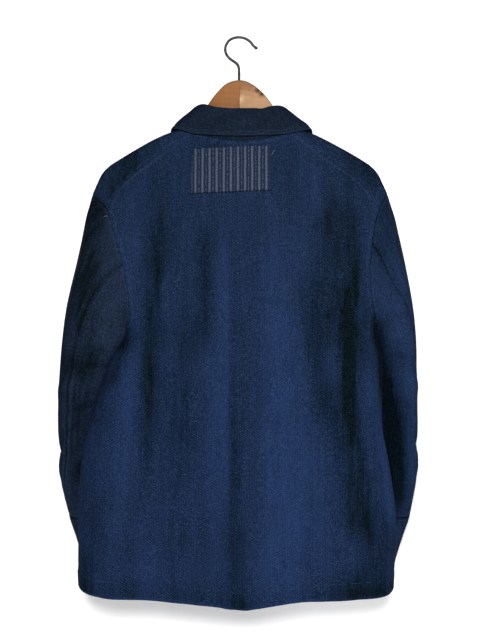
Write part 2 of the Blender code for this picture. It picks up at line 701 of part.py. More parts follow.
def add_collar():
    """The stand from the neck seam to the fold, and the fall from the fold to its edge."""
    stations = neck_stations()
    columns = len(stations)
    rows = []
    for share in (0.0, 0.5, 1.0):
        rows.append([(seam + (fold - seam).normalized() * BEND_GAP).lerp(fold, share)
                     for seam, fold, _ in stations])
    walls = grid_walls(rows)
    outer = [point for row in rows for point in row]
    add_wall("collar_stand", outer, [a + b for a, b in zip(outer, walls)],
             grid_faces(columns, 3), "collar")

    tops = walls[-columns:]
    turned = [[] for _ in FOLD_OVER]
    hanging = [[] for _ in range(3)]
    for (seam, fold, edge), wall in zip(stations, tops):
        out = -wall.normalized()
        up = (fold - seam).normalized()
        for row, (reach, height) in zip(turned, FOLD_OVER):
            row.append(fold + out * reach + up * height)
        for row, share in zip(hanging, (0.33, 0.67, 1.0)):
            bow = out * FALL_BOW * math.sin(math.pi * share)
            row.append(turned[-1][-1].lerp(edge, share) + bow)
    rows = hanging[::-1] + turned[::-1]
    walls = grid_walls(rows)
    for c, (seam, fold, _) in enumerate(stations):
        walls[-columns + c] = -(fold - seam).normalized() * CLOTH
    outer = [point for row in rows for point in row]
    add_wall("collar_fall", outer, [a + b for a, b in zip(outer, walls)],
             grid_faces(columns, len(rows)), "collar")


def add_patch():
    """The striped patch, made from the back's own surface and moved out from it."""
    top_left, top_right, low_right, low_left = [Vector(corner) for corner in PATCH[1:]]
    columns, rows = PATCH_GRID
    outer, inner = [], []
    for r in range(rows + 1):
        for c in range(columns + 1):
            low = low_left.lerp(low_right, c / columns)
            top = top_left.lerp(top_right, c / columns)
            x, z = low.lerp(top, r / rows)
            m = -along_cloth(x, z)
            out = outward(back_place, m, z)
            outer.append(back_place(m, z) + out * (PATCH_LIFT + PATCH_CLOTH))
            inner.append(back_place(m, z) + out * PATCH_LIFT)
    add_wall("patch", outer, inner, grid_faces(columns + 1, rows + 1), "patch")


def add_buttons():
    """Five buttons down the middle of the left front, which laps over the right one."""
    sides = 12
    profile = ((BUTTON_RADIUS - 0.8, 0.0), (BUTTON_RADIUS, 0.9), (BUTTON_RADIUS, 2.1),
               (BUTTON_RADIUS - 1.2, BUTTON_THICK))
    faces = [[(r * sides + k), (r * sides + (k + 1) % sides), ((r + 1) * sides + (k + 1) % sides),
              ((r + 1) * sides + k)] for r in range(len(profile) - 1) for k in range(sides)]
    faces.append(list(range(sides))[::-1])
    faces.append([(len(profile) - 1) * sides + k for k in range(sides)])
    for number, z in enumerate(BUTTON_HEIGHTS, 1):
        q = front_q(0.0, z, "front")
        seat = front_point(0.0, q, "left")
        out = outward(front_place("left"), 0.0, q)
        turn = Vector((0, 0, 1)).rotation_difference(out)
        points = []
        for radius, height in profile:
            for k in range(sides):
                angle = 2 * math.pi * k / sides
                local = Vector((radius * math.cos(angle), radius * math.sin(angle), height + BUTTON_SEAT))
                points.append(seat + turn @ local)
        add_mesh(f"button_{number}", points, faces, "button")


# ---------------------------------------------------------------- hanger
def add_hanger():
    """Two wooden arms that meet in the middle, bored for the hook's shank."""
    bore = bpy.data.meshes.new("shank_bore")
    cutter = bpy.data.objects.new("shank_bore", bore)
    bpy.context.scene.collection.objects.link(cutter)
    sides = 12
    radius = WIRE_RADIUS + SEAM_GAP
    low, high = HOOK[0][1] - 0.5, ARM[1][1] + 8
    ring = [(radius * math.cos(2 * math.pi * k / sides), radius * math.sin(2 * math.pi * k / sides))
            for k in range(sides)]
    points = [Vector((x, y, z)) * MM for z in (low, high) for x, y in ring]
    faces = [[k, (k + 1) % sides, sides + (k + 1) % sides, sides + k] for k in range(sides)]
    faces += [list(range(sides))[::-1], [sides + k for k in range(sides)]]
    bore.from_pydata(points, [], faces)
    cutter.hide_render = True
    cutter.display_type = "WIRE"
    for side, sign, look in (("left", 1, "wood_dark"), ("right", -1, "wood_light")):
        points = []
        corners = 8
        for row in rows_of(ARM):
            top, half = row["top"], row["half"]
            low = top - row["height"]
            cut = min(4.5, row["height"] * 0.3, half * 0.6)
            flat = half - cut
            for y, z in ((half, top - cut), (flat, top), (-flat, top), (-half, top - cut),
                         (-half, low + cut), (-flat, low), (flat, low), (half, low + cut)):
                points.append((sign * row["x"], y, z))
        count = len(ARM) - 1
        faces = [[s * corners + k, s * corners + (k + 1) % corners,
                  (s + 1) * corners + (k + 1) % corners, (s + 1) * corners + k]
                 for s in range(count - 1) for k in range(corners)]
        faces.append(list(range(corners))[::-1])
        faces.append([(count - 1) * corners + k for k in range(corners)])
        if sign < 0:
            faces = [face[::-1] for face in faces]
        arm = add_mesh("hanger_arm_" + side, points, faces, look)
        drill = arm.modifiers.new("bore", "BOOLEAN")
        drill.object = cutter
        drill.operation = "DIFFERENCE"


def add_hook():
    """The wire hook: shank down in the wood, neck, round crown and a small turned-out tip."""
    line = [np.array(point, float) for point in HOOK]
    smooth = []
    for i in range(len(line) - 1):
        p0, p1, p2, p3 = (line[min(max(k, 0), len(line) - 1)] for k in (i - 1, i, i + 1, i + 2))
        for t in (0.0, 0.5):
            smooth.append(0.5 * (2 * p1 + (p2 - p0) * t + (2 * p0 - 5 * p1 + 4 * p2 - p3) * t ** 2
                                 + (3 * p1 - p0 - 3 * p2 + p3) * t ** 3))
    smooth.append(line[-1])
    curve = bpy.data.curves.new("hook", "CURVE")
    curve.dimensions = "3D"
    curve.bevel_depth = WIRE_RADIUS * MM
    curve.bevel_resolution = 2
    curve.use_fill_caps = True
    spline = curve.splines.new("POLY")
    spline.points.add(len(smooth) - 1)
    for k, (point, place) in enumerate(zip(spline.points, smooth)):
        point.co = (place[0] * MM, 0.0, place[1] * MM, 1.0)
        point.radius = TIP_SWELL if k == len(smooth) - 1 else 1.0
    obj = bpy.data.objects.new("hook", curve)
    bpy.context.scene.collection.objects.link(obj)
    add_material(obj, "wire")


def build():
    """The whole jacket on its hanger."""
    for obj in list(bpy.data.objects):
        bpy.data.objects.remove(obj, do_unlink=True)
    add_back()
    for side in ("left", "right"):
        add_front(side)
        add_sleeve(side)
    add_collar()
    add_patch()
    add_buttons()
    add_hanger()
    add_hook()


build()
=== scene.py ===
"""Looks of the patched boro jacket on its two-piece wooden hanger.

Lengths are millimetres in the model's own frame and each mesh is scaled to metres when it is
made.  The jacket's back faces +Y and its front -Y, the wearer's left is +X, and the origin is
the inside of the hook's crown.
"""
import json
import math

import bmesh
import bpy
import numpy as np
from mathutils import Matrix, Vector, geometry

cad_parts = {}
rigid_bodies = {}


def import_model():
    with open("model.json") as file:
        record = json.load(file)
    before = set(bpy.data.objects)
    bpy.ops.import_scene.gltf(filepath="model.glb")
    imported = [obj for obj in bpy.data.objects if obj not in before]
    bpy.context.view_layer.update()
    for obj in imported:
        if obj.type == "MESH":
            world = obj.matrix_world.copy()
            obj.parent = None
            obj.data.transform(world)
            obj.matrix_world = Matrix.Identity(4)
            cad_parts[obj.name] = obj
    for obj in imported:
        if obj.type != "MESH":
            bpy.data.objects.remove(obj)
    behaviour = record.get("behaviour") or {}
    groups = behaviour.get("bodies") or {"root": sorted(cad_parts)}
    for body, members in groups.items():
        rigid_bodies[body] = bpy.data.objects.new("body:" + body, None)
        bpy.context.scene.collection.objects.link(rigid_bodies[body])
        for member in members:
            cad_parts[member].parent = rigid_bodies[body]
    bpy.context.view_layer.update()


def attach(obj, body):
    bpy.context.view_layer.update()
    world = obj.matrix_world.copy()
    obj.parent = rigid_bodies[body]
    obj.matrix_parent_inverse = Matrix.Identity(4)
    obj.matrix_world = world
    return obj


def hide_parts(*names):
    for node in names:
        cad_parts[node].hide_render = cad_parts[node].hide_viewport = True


for start_object in list(bpy.data.objects):
    bpy.data.objects.remove(start_object, do_unlink=True)
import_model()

# ---------------------------------------------------------------- the back
# One width of indigo twill from the neck seam and the two rear shoulder seams down to a
# turned hem.  It is cut flat, hung over the hanger and sewn to the fronts and sleeves, so
# the body's shape, the cloth's wall and its weave are first met here.
MM = 0.001
SIGN = {"left": 1, "right": -1}     # which way along X each side of the wearer lies
CLOTH = 2.0                 # wall of the cloth
WEAVE_STEP = 4.2            # between the points of a panel
ROW_STEP = 0.87             # between its rows, as a share of that
CLEAR_OF_EDGE = 0.55        # no inner point stands nearer to the outline, as a share of that
RIDGE_ROUND_Y = 10.5        # the cloth's turn over the shoulder ridge: its reach and height
RIDGE_ROUND_Z = 9.0
SIDE_ROUND = 60.0           # the body's turn at its sides: reach and run
SIDE_RUN = 84.0
NECK_HALF = 85.0
NECK_FILL = 12.0            # extra depth under the collar, and the heights over which it fades
NECK_FADE_LOW = -330.0
NECK_FADE = 130.0
HEM_TURN = 27.0             # depth of the turned hem
HEM_STITCH_IN = 25.0        # its stitching from the edge
HEM_SWELL = 0.9             # how far the doubled cloth of the hem stands out
SEAM_VALLEY = 0.7           # depth of the valley at a seam
VALLEY_WIDTH = 1.6
ALLOWANCE = 10.0            # width of the folded allowance beside a seam
ALLOWANCE_SWELL = 0.4       # how far the allowance stands out
EDGE_TURN = 34.0            # depth of the turned front edge, and its stitching from the edge
EDGE_STITCH_IN = 6.0
STITCH_IN = 5.0             # topstitching beside a seam
# Depth of the furrow that stitches draw into the cloth and its width, there and round a hem.
STITCH_SUNK = {"seam": 0.3, "hem": 0.6, "edge": 0.5}
STITCH_WIDTH = 1.1
HEM_STITCH_WIDTH = 1.2
FAR = 1e3                   # stands for the distance from a kind of edge that a panel lacks
TINY = 1e-9                 # keeps a division from being by nothing
BATCH = 3000                # points measured at one time

# Height of the shoulder ridge, the body's depth to either face for each drop below it, and the
# half-width of either side.
RIDGE = (("x", "z"),
         (60, -141), (89.5, -143.5), (100, -146.5), (110, -149.5), (127, -156.5), (162, -174.5),
         (194, -193.5), (210, -205), (218, -215), (226, -231), (234, -247), (242, -262),
         (300, -262))
DEPTH = (("drop", "back", "front"),
         (9, 10.5, 10.5), (30, 14, 13.5), (70, 23, 21), (130, 34, 30), (200, 43, 37),
         (300, 49, 41), (450, 53, 43), (600, 56, 44), (760, 58, 45))
WIDTH = (("z", "left", "right"),
         (-884, 254, 242), (-842, 256, 244), (-790, 256, 248), (-744, 256, 246), (-687, 252, 238),
         (-647, 248, 231), (-626, 243, 227), (-598, 235, 225), (-558, 224, 226), (-522, 211, 226),
         (-500, 198, 224), (-487, 190, 221), (-472, 185, 217.5), (-460, 186, 216.5),
         (-450, 189.5, 217.6), (-430, 203, 228),
         (-400, 226, 244), (-352, 250, 256), (-326, 256, 260), (-274, 262, 262))
# Folds: the line of each from its top to its low end, how wide it is on the wearer's left and
# right of that line, its depth (troughs below zero), its sway, and how its ends fade: 0 only
# the top one, 1 both in a single swell, 2 each by itself.
FOLDS = {
    "back": (("top_x", "top_z", "low_x", "low_z", "left", "right", "depth", "sway", "fades"),
             (126, -210, 141, -905, 30, 36, -5.5, 4, 0),
             (34, -330, 25, -912, 34, 13, 4.2, 2, 0),
             (5, -350, 5, -915, 10, 30, -4.2, 2, 0),
             (-66, -270, -62, -912, 36, 26, 4.6, 4, 0),
             (-112, -250, -158, -890, 38, 44, -4.6, 3, 0),
             (-174, -350, -187, -870, 20, 27, -7.6, 3, 0),
             (86, -380, 93, -910, 26, 26, 3.2, 4, 0),
             (182, -500, 198, -900, 26, 22, 4.0, 3, 0),
             (-146, -205, -196, -345, 12, 17, -2.4, 0, 1),
             (-120, -215, -160, -330, 10, 14, 1.5, 0, 1),
             (150, -212, 186, -345, 13, 11, -2.2, 0, 1),
             (122, -225, 166, -320, 10, 11, 1.3, 0, 1),
             (168, -430, 108, -520, 12, 15, -2.0, 0, 1),
             (182, -470, 140, -580, 13, 13, 1.8, 0, 1),
             (-196, -440, -150, -540, 14, 12, -2.0, 0, 1),
             (60, -790, 66, -916, 11, 13, 1.8, 0, 0),
             (-22, -770, -30, -918, 12, 14, 1.9, 0, 0),
             (-112, -800, -104, -914, 13, 12, -1.8, 0, 0),
             (212, -780, 222, -900, 12, 12, -2.2, 0, 0),
             (-214, -800, -222, -900, 11, 13, -2.0, 0, 0)),
    "front": (("top_x", "top_z", "low_x", "low_z", "left", "right", "depth", "sway", "fades"),
              (120, -240, 138, -905, 32, 36, -5.4, 4, 0),
              (-118, -250, -126, -905, 36, 30, -5.0, 4, 0),
              (72, -400, 78, -910, 30, 26, 3.6, 3, 0),
              (-70, -340, -84, -910, 26, 32, 3.9, 3, 0),
              (178, -360, 192, -900, 24, 20, 4.2, 2, 0),
              (-176, -380, -190, -900, 20, 26, 3.8, 2, 0),
              (148, -215, 186, -340, 13, 13, -2.3, 0, 1),
              (-150, -220, -192, -350, 12, 15, -2.5, 0, 1),
              (182, -450, 118, -540, 13, 12, -2.1, 0, 1),
              (-196, -440, -130, -530, 12, 15, -1.9, 0, 1),
              (44, -760, 52, -916, 12, 13, -1.7, 0, 0),
              (-46, -780, -52, -916, 13, 11, 1.6, 0, 0),
              (104, -800, 108, -912, 11, 12, 1.9, 0, 0)),
}
# Bands of painted light and shade on the back: pale where a fold or the body's side is painted as lit,
# dark as painted shade in troughs, creases, over the shoulders and beside the sleeves, laid out like the
# folds.
PAINTED_SHADING = (("top_x", "top_z", "low_x", "low_z", "left", "right", "depth", "sway", "fades"),
         (135, -70, 225, -270, 40, 40, -0.40, 0, 2), (-135, -70, -225, -270, 34, 34, -0.28, 0, 2),
         (127, -200, 148, -760, 14, 17, -0.36, 0, 2), (120, -200, 132, -450, 9, 14, -0.18, 0, 2),
         (143, -340, 146, -640, 11, 10, -0.10, 0, 2),
         (166, -420, 194, -810, 24, 18, 0.17, 0, 2), (222, -700, 238, -905, 14, 16, -0.22, 0, 2),
         (160, -445, 212, -570, 10, 12, -0.34, 0, 2), (203, -500, 240, -640, 8, 10, -0.16, 0, 2),
         (182, -230, 176, -440, 16, 18, 0.10, 0, 2), (82, -400, 84, -720, 13, 16, -0.22, 0, 2),
         (92, -480, 100, -960, 15, 14, -0.16, 0, 2),
         (50, -260, 54, -520, 17, 17, -0.36, 0, 2), (24, -250, 19, -800, 24, 6, 0.28, 0, 2),
         (12, -480, 8, -920, 7, 20, -0.26, 0, 0), (-38, -500, -42, -960, 22, 18, 0.14, 0, 2),
         (-52, -230, -80, -1000, 28, 34, 0.32, 0, 2), (-112, -560, -134, -890, 26, 26, 0.12, 0, 2),
         (-150, -200, -150, -480, 26, 20, -0.30, 0, 2), (-106, -350, -130, -660, 20, 24, -0.26, 0, 2),
         (-140, -500, -150, -720, 16, 14, -0.24, 0, 2), (-174, -240, -178, -450, 9, 13, -0.30, 0, 2),
         (-166, -370, -173, -680, 16, 13, -0.60, 0, 2), (-167, -380, -172, -620, 6, 6, -0.50, 0, 2),
         (-186, -320, -194, -560, 18, 18, -0.26, 0, 2), (-218, -440, -226, -600, 7, 6, -0.60, 0, 2),
         (-174, -590, -201, -835, 27, 20, -0.38, 0, 2), (-216, -550, -241, -800, 9, 10, 0.56, 0, 2),
         (-216, -720, -226, -840, 15, 14, -0.16, 0, 2), (-174, -820, -178, -940, 14, 14, -0.30, 0, 2),
         (-196, -800, -204, -960, 30, 26, -0.30, 0, 2), (172, -432, 190, -505, 7, 8, -0.45, 0, 2),
         (-208, -410, -218, -500, 5, 5, -0.45, 0, 2),
         (-198, -620, -205, -900, 12, 10, -0.10, 0, 2),
         (212, -600, 212, -710, 8, 8, 0.14, 0, 2), (236, -840, 244, -980, 14, 16, -0.20, 0, 2),
         (-92, -380, -94, -480, 9, 9, -0.20, 0, 2),
         (-138, -420, -140, -500, 9, 9, -0.18, 0, 2), (-148, -510, -150, -600, 8, 8, 0.20, 0, 2),
         (-119, -190, -120, -300, 10, 10, 0.30, 0, 2), (54, -230, 53, -330, 8, 8, 0.16, 0, 2),
         (183, -380, 181, -450, 5, 5, 0.22, 0, 2), (-170, -660, -173, -800, 7, 7, -0.16, 0, 2),
         (-206, -760, -228, -930, 16, 14, -0.09, 0, 2))
# Where a panel has faded or kept its dye along its edges: how far in, how wide, how much.
EDGE_WEAR = (("kind", "in", "width", "paler"),
             ("hem", 0.0, 2.5, 0.3), ("hem", 8.0, 16.0, -0.16), ("seam", 2.6, 1.8, 0.40),
             ("edge", 0.0, 2.5, 0.3), ("seam", 0.0, 1.4, -0.05))
# Seam lines, each as world x (without its sign) and height from its upper end down.
ARMHOLE = {
    ("left", "back"): ((234, -247), (227.5, -252), (220, -259), (213, -266.5), (206.5, -276),
                       (201, -293), (196, -313), (189, -334), (182.5, -357), (177, -386),
                       (173, -416), (172, -437), (175, -450), (181, -457.5), (186, -460)),
    ("left", "front"): ((234, -247), (229, -256), (222.5, -269), (215, -286), (208, -306),
                        (201, -331), (194, -359), (187, -390), (181, -419), (177.5, -439),
                        (178.5, -451), (182.5, -457.5), (186, -460)),
    ("right", "back"): ((234, -247), (229.5, -252), (225, -259), (221, -267), (217.5, -276.5),
                        (212.5, -292), (209, -308), (206, -329), (203.5, -352), (202.5, -375),
                        (204, -399), (207.5, -420), (211.5, -437), (215.5, -447.5),
                        (217.6, -450)),
    ("right", "front"): ((234, -247), (229, -256), (223.5, -269), (217.5, -286), (212.5, -306),
                         (208.5, -331), (206, -359), (205, -388), (206, -414), (209, -433),
                         (212.5, -443.5), (215.5, -448.5), (217.6, -450)),
}
SEAM_CORNER = 4             # row of the armhole where the rear shoulder seam arrives
SHOULDER = {
    "left": ((82, -149), (91, -157), (101, -166.5), (114, -176), (128, -186), (143, -197),
             (158, -208.5), (173, -221), (188, -236), (199, -253), (206.5, -276)),
    "right": ((82, -149), (92, -155.5), (104, -165), (117, -175.5), (131, -186.5), (147, -197.5),
              (163, -208), (179, -220), (193, -233), (206, -250.5), (217.5, -276.5)),
}
NECK_BACK = ((82, -149), (66, -154), (50, -158.5), (33, -162.5), (16, -165), (0, -166),
             (-16, -165.5), (-33, -163.5), (-50, -160), (-66, -155), (-82, -149))
HEM = (("x", "z"), (256, -864), (246, -871), (228, -874.5), (190, -877), (155, -879), (93, -883),
       (62, -886), (31, -889), (10, -893.5), (-8, -895), (-24, -892), (-46, -888), (-77, -883),
       (-100, -881.5), (-155, -881), (-200, -879), (-226, -877), (-238, -873), (-246, -865))
HEM_CORNER = -872.0         # height at which the side seams meet the hem


def ease(t):
    """0 to 1 with level ends."""
    t = np.clip(t, 0.0, 1.0)
    return t * t * (3 - 2 * t)


def bump(distance, width):
    """A smooth hill of height 1."""
    return np.exp(-(distance / width) ** 2)


def hermite(t, start, end, leave, arrive):
    """A cubic from start to end that leaves and arrives at these slopes."""
    return ((2 * t ** 3 - 3 * t ** 2 + 1) * start + (t ** 3 - 2 * t ** 2 + t) * leave
            + (3 * t ** 2 - 2 * t ** 3) * end + (t ** 3 - t ** 2) * arrive)


def smooth(table, column):
    """A table's column as a smooth function of its first column."""
    rows = np.array(sorted(table[1:]), float)
    x, y = rows[:, 0], rows[:, table[0].index(column)]
    step = np.diff(x)
    slope = np.diff(y) / step
    tangent = np.zeros(len(x))
    tangent[0], tangent[-1] = slope[0], slope[-1]
    for i in range(1, len(x) - 1):
        if slope[i - 1] * slope[i] > 0:
            tangent[i] = 2 * slope[i - 1] * slope[i] / (slope[i - 1] + slope[i])

    def value(at):
        at = np.clip(at, x[0], x[-1])
        i = np.clip(np.searchsorted(x, at) - 1, 0, len(x) - 2)
        t = (at - x[i]) / step[i]
        return hermite(t, y[i], y[i + 1], step[i] * tangent[i], step[i] * tangent[i + 1])

    return value


ridge_z = smooth(RIDGE, "z")
hem_z = smooth(HEM, "z")
depth_of = {"back": smooth(DEPTH, "back"), "front": smooth(DEPTH, "front")}
half_width = {"left": smooth(WIDTH, "left"), "right": smooth(WIDTH, "right")}


def flat_reach(p, z):
    """Distance from the middle at which the body starts to turn at its side."""
    return np.where(p >= 0, half_width["left"](z), half_width["right"](z)) - SIDE_ROUND


def across(p, z):
    """World x of a place p along the cloth from the middle, and how far the side has turned."""
    reach = flat_reach(p, z)
    turn = np.clip((np.abs(p) - reach) / SIDE_RUN, 0.0, 1.0) * np.pi / 2
    return np.where(turn > 0, np.sign(p) * (reach + SIDE_ROUND * np.sin(turn)), p), np.cos(turn)


def along(x, z):
    """Place along the cloth from the middle for a world x."""
    reach = flat_reach(x, z)
    turn = np.arcsin(np.clip((np.abs(x) - reach) / SIDE_ROUND, 0.0, 1.0))
    return np.where(turn > 0, np.sign(x) * (reach + SIDE_RUN * turn / (np.pi / 2)), x)


def named_rows(table):
    """The rows of a table, each as a dictionary by the names in its first row."""
    return [dict(zip(table[0], row)) for row in table[1:]]


def fold_push(table, x, z):
    """Sum of a table's folds, or of its faded and dark bands, at places on one face."""
    push = np.zeros_like(x)
    for fold in named_rows(table):
        down = (fold["top_z"] - z) / (fold["top_z"] - fold["low_z"])
        middle = fold["top_x"] + (fold["low_x"] - fold["top_x"]) * down
        middle = middle + fold["sway"] * np.sin(3.1 * down + fold["top_x"])
        width = np.where(x > middle, fold["left"], fold["right"])
        if fold["fades"] == 2:
            strength = ease(down / 0.3) * ease((1 - down) / 0.3)
        elif fold["fades"]:
            strength = np.sin(np.pi * np.clip(down, 0.0, 1.0))
        else:
            strength = ease(down / 0.35)
        push += fold["depth"] * strength * bump(x - middle, width)
    return push


def body_y(face, x, z, drop, side_turn, ridge_turn):
    """Distance of one face of the body from the middle plane."""
    over = RIDGE_ROUND_Y * np.sin(ridge_turn)
    depth = np.where(drop < RIDGE_ROUND_Z, over, depth_of[face](drop))
    neck = np.maximum(0.0, 1 - (x / NECK_HALF) ** 2) * ease((z - NECK_FADE_LOW) / NECK_FADE)
    return (depth + NECK_FILL * neck + fold_push(FOLDS[face], x, z)) * side_turn


def back_point(p, z):
    """Places on the outside of the back; p runs towards the wearer's left."""
    x, side_turn = across(p, z)
    drop = ridge_z(np.abs(x)) - z
    turn = np.arccos(np.clip(1 - drop / RIDGE_ROUND_Z, 0.0, 1.0))
    return np.column_stack((x, body_y("back", x, z, drop, side_turn, turn), z))


def back_place(m, z):
    """The back as it is seen from behind; m runs towards the wearer's right."""
    return back_point(-m, z)


def unit(vectors):
    """The same vectors with a length of 1."""
    return vectors / np.maximum(np.linalg.norm(vectors, axis=-1), TINY)[..., None]


def outward(place, p, v, step=1.5):
    """Unit normals of a cloth surface, pointing out of the garment."""
    over = place(p + step, v) - place(p - step, v)
    up = place(p, v + step) - place(p, v - step)
    return unit(np.cross(over, up))


def run_along(line):
    """Distance along a line to each of its points."""
    return np.concatenate(([0.0], np.cumsum(np.linalg.norm(np.diff(line, axis=0), axis=1))))


def resample(line, spacing):
    """Even points along a line."""
    run = run_along(line)
    spots = np.linspace(0.0, run[-1], max(round(run[-1] / spacing), 1) + 1)
    return np.column_stack([np.interp(spots, run, line[:, k]) for k in range(line.shape[1])])


def blend(rows, steps):
    """Rows of numbers blended smoothly, with this many steps from each row to the next."""
    rows = np.array(rows, float)
    last = len(rows) - 1
    t = (np.arange(steps) / steps).reshape((-1,) + (1,) * (rows.ndim - 1))
    fine = []
    for i in range(last):
        p0, p1, p2, p3 = (rows[min(max(k, 0), last)] for k in (i - 1, i, i + 1, i + 2))
        fine.append(0.5 * (2 * p1 + (p2 - p0) * t + (2 * p0 - 5 * p1 + 4 * p2 - p3) * t ** 2
                           + (3 * p1 - p0 - 3 * p2 + p3) * t ** 3))
    return np.concatenate(fine + [rows[-1:]])


def spline(points, spacing):
    """Even points along a smooth line through the given ones."""
    return resample(blend(points, 16), spacing)


def add_object(name, data):
    """A new object in the scene."""
    made = bpy.data.objects.new(name, data)
    bpy.context.scene.collection.objects.link(made)
    return made


def make_cloth(name, outer, out, faces, uv, wear_and_painted_shading, wall=CLOTH):
    """A closed cloth wall with rolled edges from its outer sheet; wear and painted light and shade, above 0,
    lighten the cloth.
    """
    count = len(outer)
    faces = np.array(faces)
    corners = outer[faces[:, :3]]
    facing = np.cross(corners[:, 1] - corners[:, 0], corners[:, 2] - corners[:, 0])
    if np.sum(facing * out[faces[:, 0]]) < 0:
        faces = faces[:, ::-1]
    start = faces.ravel()
    end = np.roll(faces, -1, axis=1).ravel()
    free = ~np.isin(start * count + end, end * count + start)
    following = dict(zip(start[free], end[free]))
    leading = {b: a for a, b in following.items()}
    rim = np.array(sorted(following))
    ahead = np.array([following[k] for k in rim])
    behind = np.array([leading[k] for k in rim])
    edge_out = unit(np.cross(outer[ahead] - outer[behind], out[rim]))
    middle = outer[rim] - out[rim] * wall / 2
    points = [outer, outer - out * wall]
    for turn in (45, 90, 135):
        c, s = math.cos(math.radians(turn)), math.sin(math.radians(turn))
        points.append(middle + (out[rim] * c + edge_out * s) * wall / 2)
    place = {k: i for i, k in enumerate(rim)}
    following_at = np.array([place[k] for k in ahead])
    here = np.arange(len(rim))
    rings = [rim] + [2 * count + len(rim) * k + here for k in range(3)] + [rim + count]
    solid = [list(face) for face in faces.tolist()]
    solid += [list(face) for face in (faces[:, ::-1] + count).tolist()]
    for upper, lower in zip(rings, rings[1:]):
        quads = np.column_stack((upper, lower, lower[following_at], upper[following_at]))
        solid += quads.tolist()
    mesh = bpy.data.meshes.new(name)
    mesh.from_pydata((np.vstack(points) * MM).tolist(), [], solid)
    all_uv = np.vstack((uv, uv, uv[rim], uv[rim], uv[rim])) * MM
    all_wear_and_painted_shading = np.concatenate((wear_and_painted_shading, wear_and_painted_shading, wear_and_painted_shading[rim], wear_and_painted_shading[rim], wear_and_painted_shading[rim]))
    corner_point = np.zeros(len(mesh.loops), np.int32)
    mesh.loops.foreach_get("vertex_index", corner_point)
    layer = mesh.uv_layers.new(name="cloth")
    layer.data.foreach_set("uv", all_uv[corner_point].astype(np.float32).ravel())
    mark = mesh.attributes.new("wear_and_painted_shading", "FLOAT", "POINT")
    mark.data.foreach_set("value", all_wear_and_painted_shading.astype(np.float32))
    mesh.shade_smooth()
    return add_object(name, mesh)


def edge_distances(points, outline, chosen):
    """Distance of flat points from the chosen edges of an outline."""
    a = outline[chosen]
    b = np.roll(outline, -1, axis=0)[chosen]
    run = b - a
    length = np.maximum((run ** 2).sum(1), TINY)
    nearest = np.full(len(points), FAR)
    for first in range(0, len(points), BATCH):
        part = points[first:first + BATCH, None, :] - a[None]
        share = np.clip((part * run).sum(2) / length, 0.0, 1.0)
        gap = part - share[:, :, None] * run
        nearest[first:first + BATCH] = np.sqrt((gap ** 2).sum(2).min(1))
    return nearest


def inside_outline(points, outline):
    """Whether flat points are inside a closed outline."""
    a, b = outline, np.roll(outline, -1, axis=0)
    rise = np.where(b[:, 1] == a[:, 1], TINY, b[:, 1] - a[:, 1])
    hit = np.zeros(len(points), bool)
    for first in range(0, len(points), BATCH):
        x, y = points[first:first + BATCH, 0, None], points[first:first + BATCH, 1, None]
        crosses = (a[:, 1] > y) != (b[:, 1] > y)
        before = x < a[:, 0] + (b[:, 0] - a[:, 0]) * (y - a[:, 1]) / rise
        hit[first:first + BATCH] = (crosses & before).sum(1) % 2 == 1
    return hit


def seam_relief(seam):
    """Height beside a seam: its valley, the swell of the allowance and the sunken stitches."""
    return (-SEAM_VALLEY * bump(seam, VALLEY_WIDTH)
            + ALLOWANCE_SWELL * (1 - ease((seam - ALLOWANCE + 2) / 5))
            - STITCH_SUNK["seam"] * bump(seam - STITCH_IN, STITCH_WIDTH))


def hem_relief(hem, run):
    """Height beside a turned hem: the doubled cloth, its stitch line and small puckers."""
    pucker = np.sin(run / 1.9 + 2.0 * np.sin(run / 13.0)) + 0.6 * np.sin(run / 3.3 + 1.0)
    from_stitches = hem - HEM_STITCH_IN
    return (HEM_SWELL * (1 - ease((hem - HEM_TURN + 1.5) / 3))
            - STITCH_SUNK["hem"] * bump(from_stitches, HEM_STITCH_WIDTH)
            + 0.35 * pucker * bump(from_stitches, 8.0))


def cut_cloth(name, outline, kinds, place, tones):
    """Cut a panel from its flat outline, hang it with place() and give it its wall.

    kinds says what each edge of the outline is: "seam", "hem" or "edge" (a turned front edge).
    tones() gives the painted light and shade: how much paler or darker the cloth is at places in space.
    """
    low, high = outline.min(0), outline.max(0)
    columns = np.arange(low[0], high[0], WEAVE_STEP)
    rows = np.arange(low[1], high[1], WEAVE_STEP * ROW_STEP)
    grid = np.array([(x + (k % 2) * WEAVE_STEP / 2, y) for k, y in enumerate(rows) for x in columns])
    every = np.ones(len(outline), bool)
    grid = grid[inside_outline(grid, outline)]
    grid = grid[edge_distances(grid, outline, every) > WEAVE_STEP * CLEAR_OF_EDGE]
    flat = np.vstack((outline, grid))
    loop = [list(range(len(outline)))]
    cut = geometry.delaunay_2d_cdt([tuple(point) for point in flat], [], loop, 1, 1e-6)
    source = np.array([origins[0] for origins in cut[3]])
    faces = source[np.array([face for face in cut[2] if len(face) == 3])]
    p, v = flat[:, 0], flat[:, 1]
    kinds = np.array(kinds)
    far = {kind: edge_distances(flat, outline, kinds == kind) if (kinds == kind).any()
           else np.full(len(flat), FAR) for kind in ("seam", "hem", "edge")}
    rolling = 0.5 * np.sin(p / 23 + 1.7 * np.sin(v / 61)) * np.sin(v / 47 + p / 90)
    height = (seam_relief(far["seam"]) + hem_relief(far["hem"], p)
              + HEM_SWELL * (1 - ease((far["edge"] - EDGE_TURN) / 3))
              - STITCH_SUNK["edge"] * bump(far["edge"] - EDGE_STITCH_IN, STITCH_WIDTH) + rolling)
    out = outward(place, p, v)
    surface = place(p, v)
    # Painted light and shade from the bands, then the wear along the panel's edges.
    wear_and_painted_shading = tones(surface)
    for wear in named_rows(EDGE_WEAR):
        wear_and_painted_shading += wear["paler"] * bump(far[wear["kind"]] - wear["in"], wear["width"])
    return make_cloth(name, surface + out * height[:, None], out, faces, flat, wear_and_painted_shading)


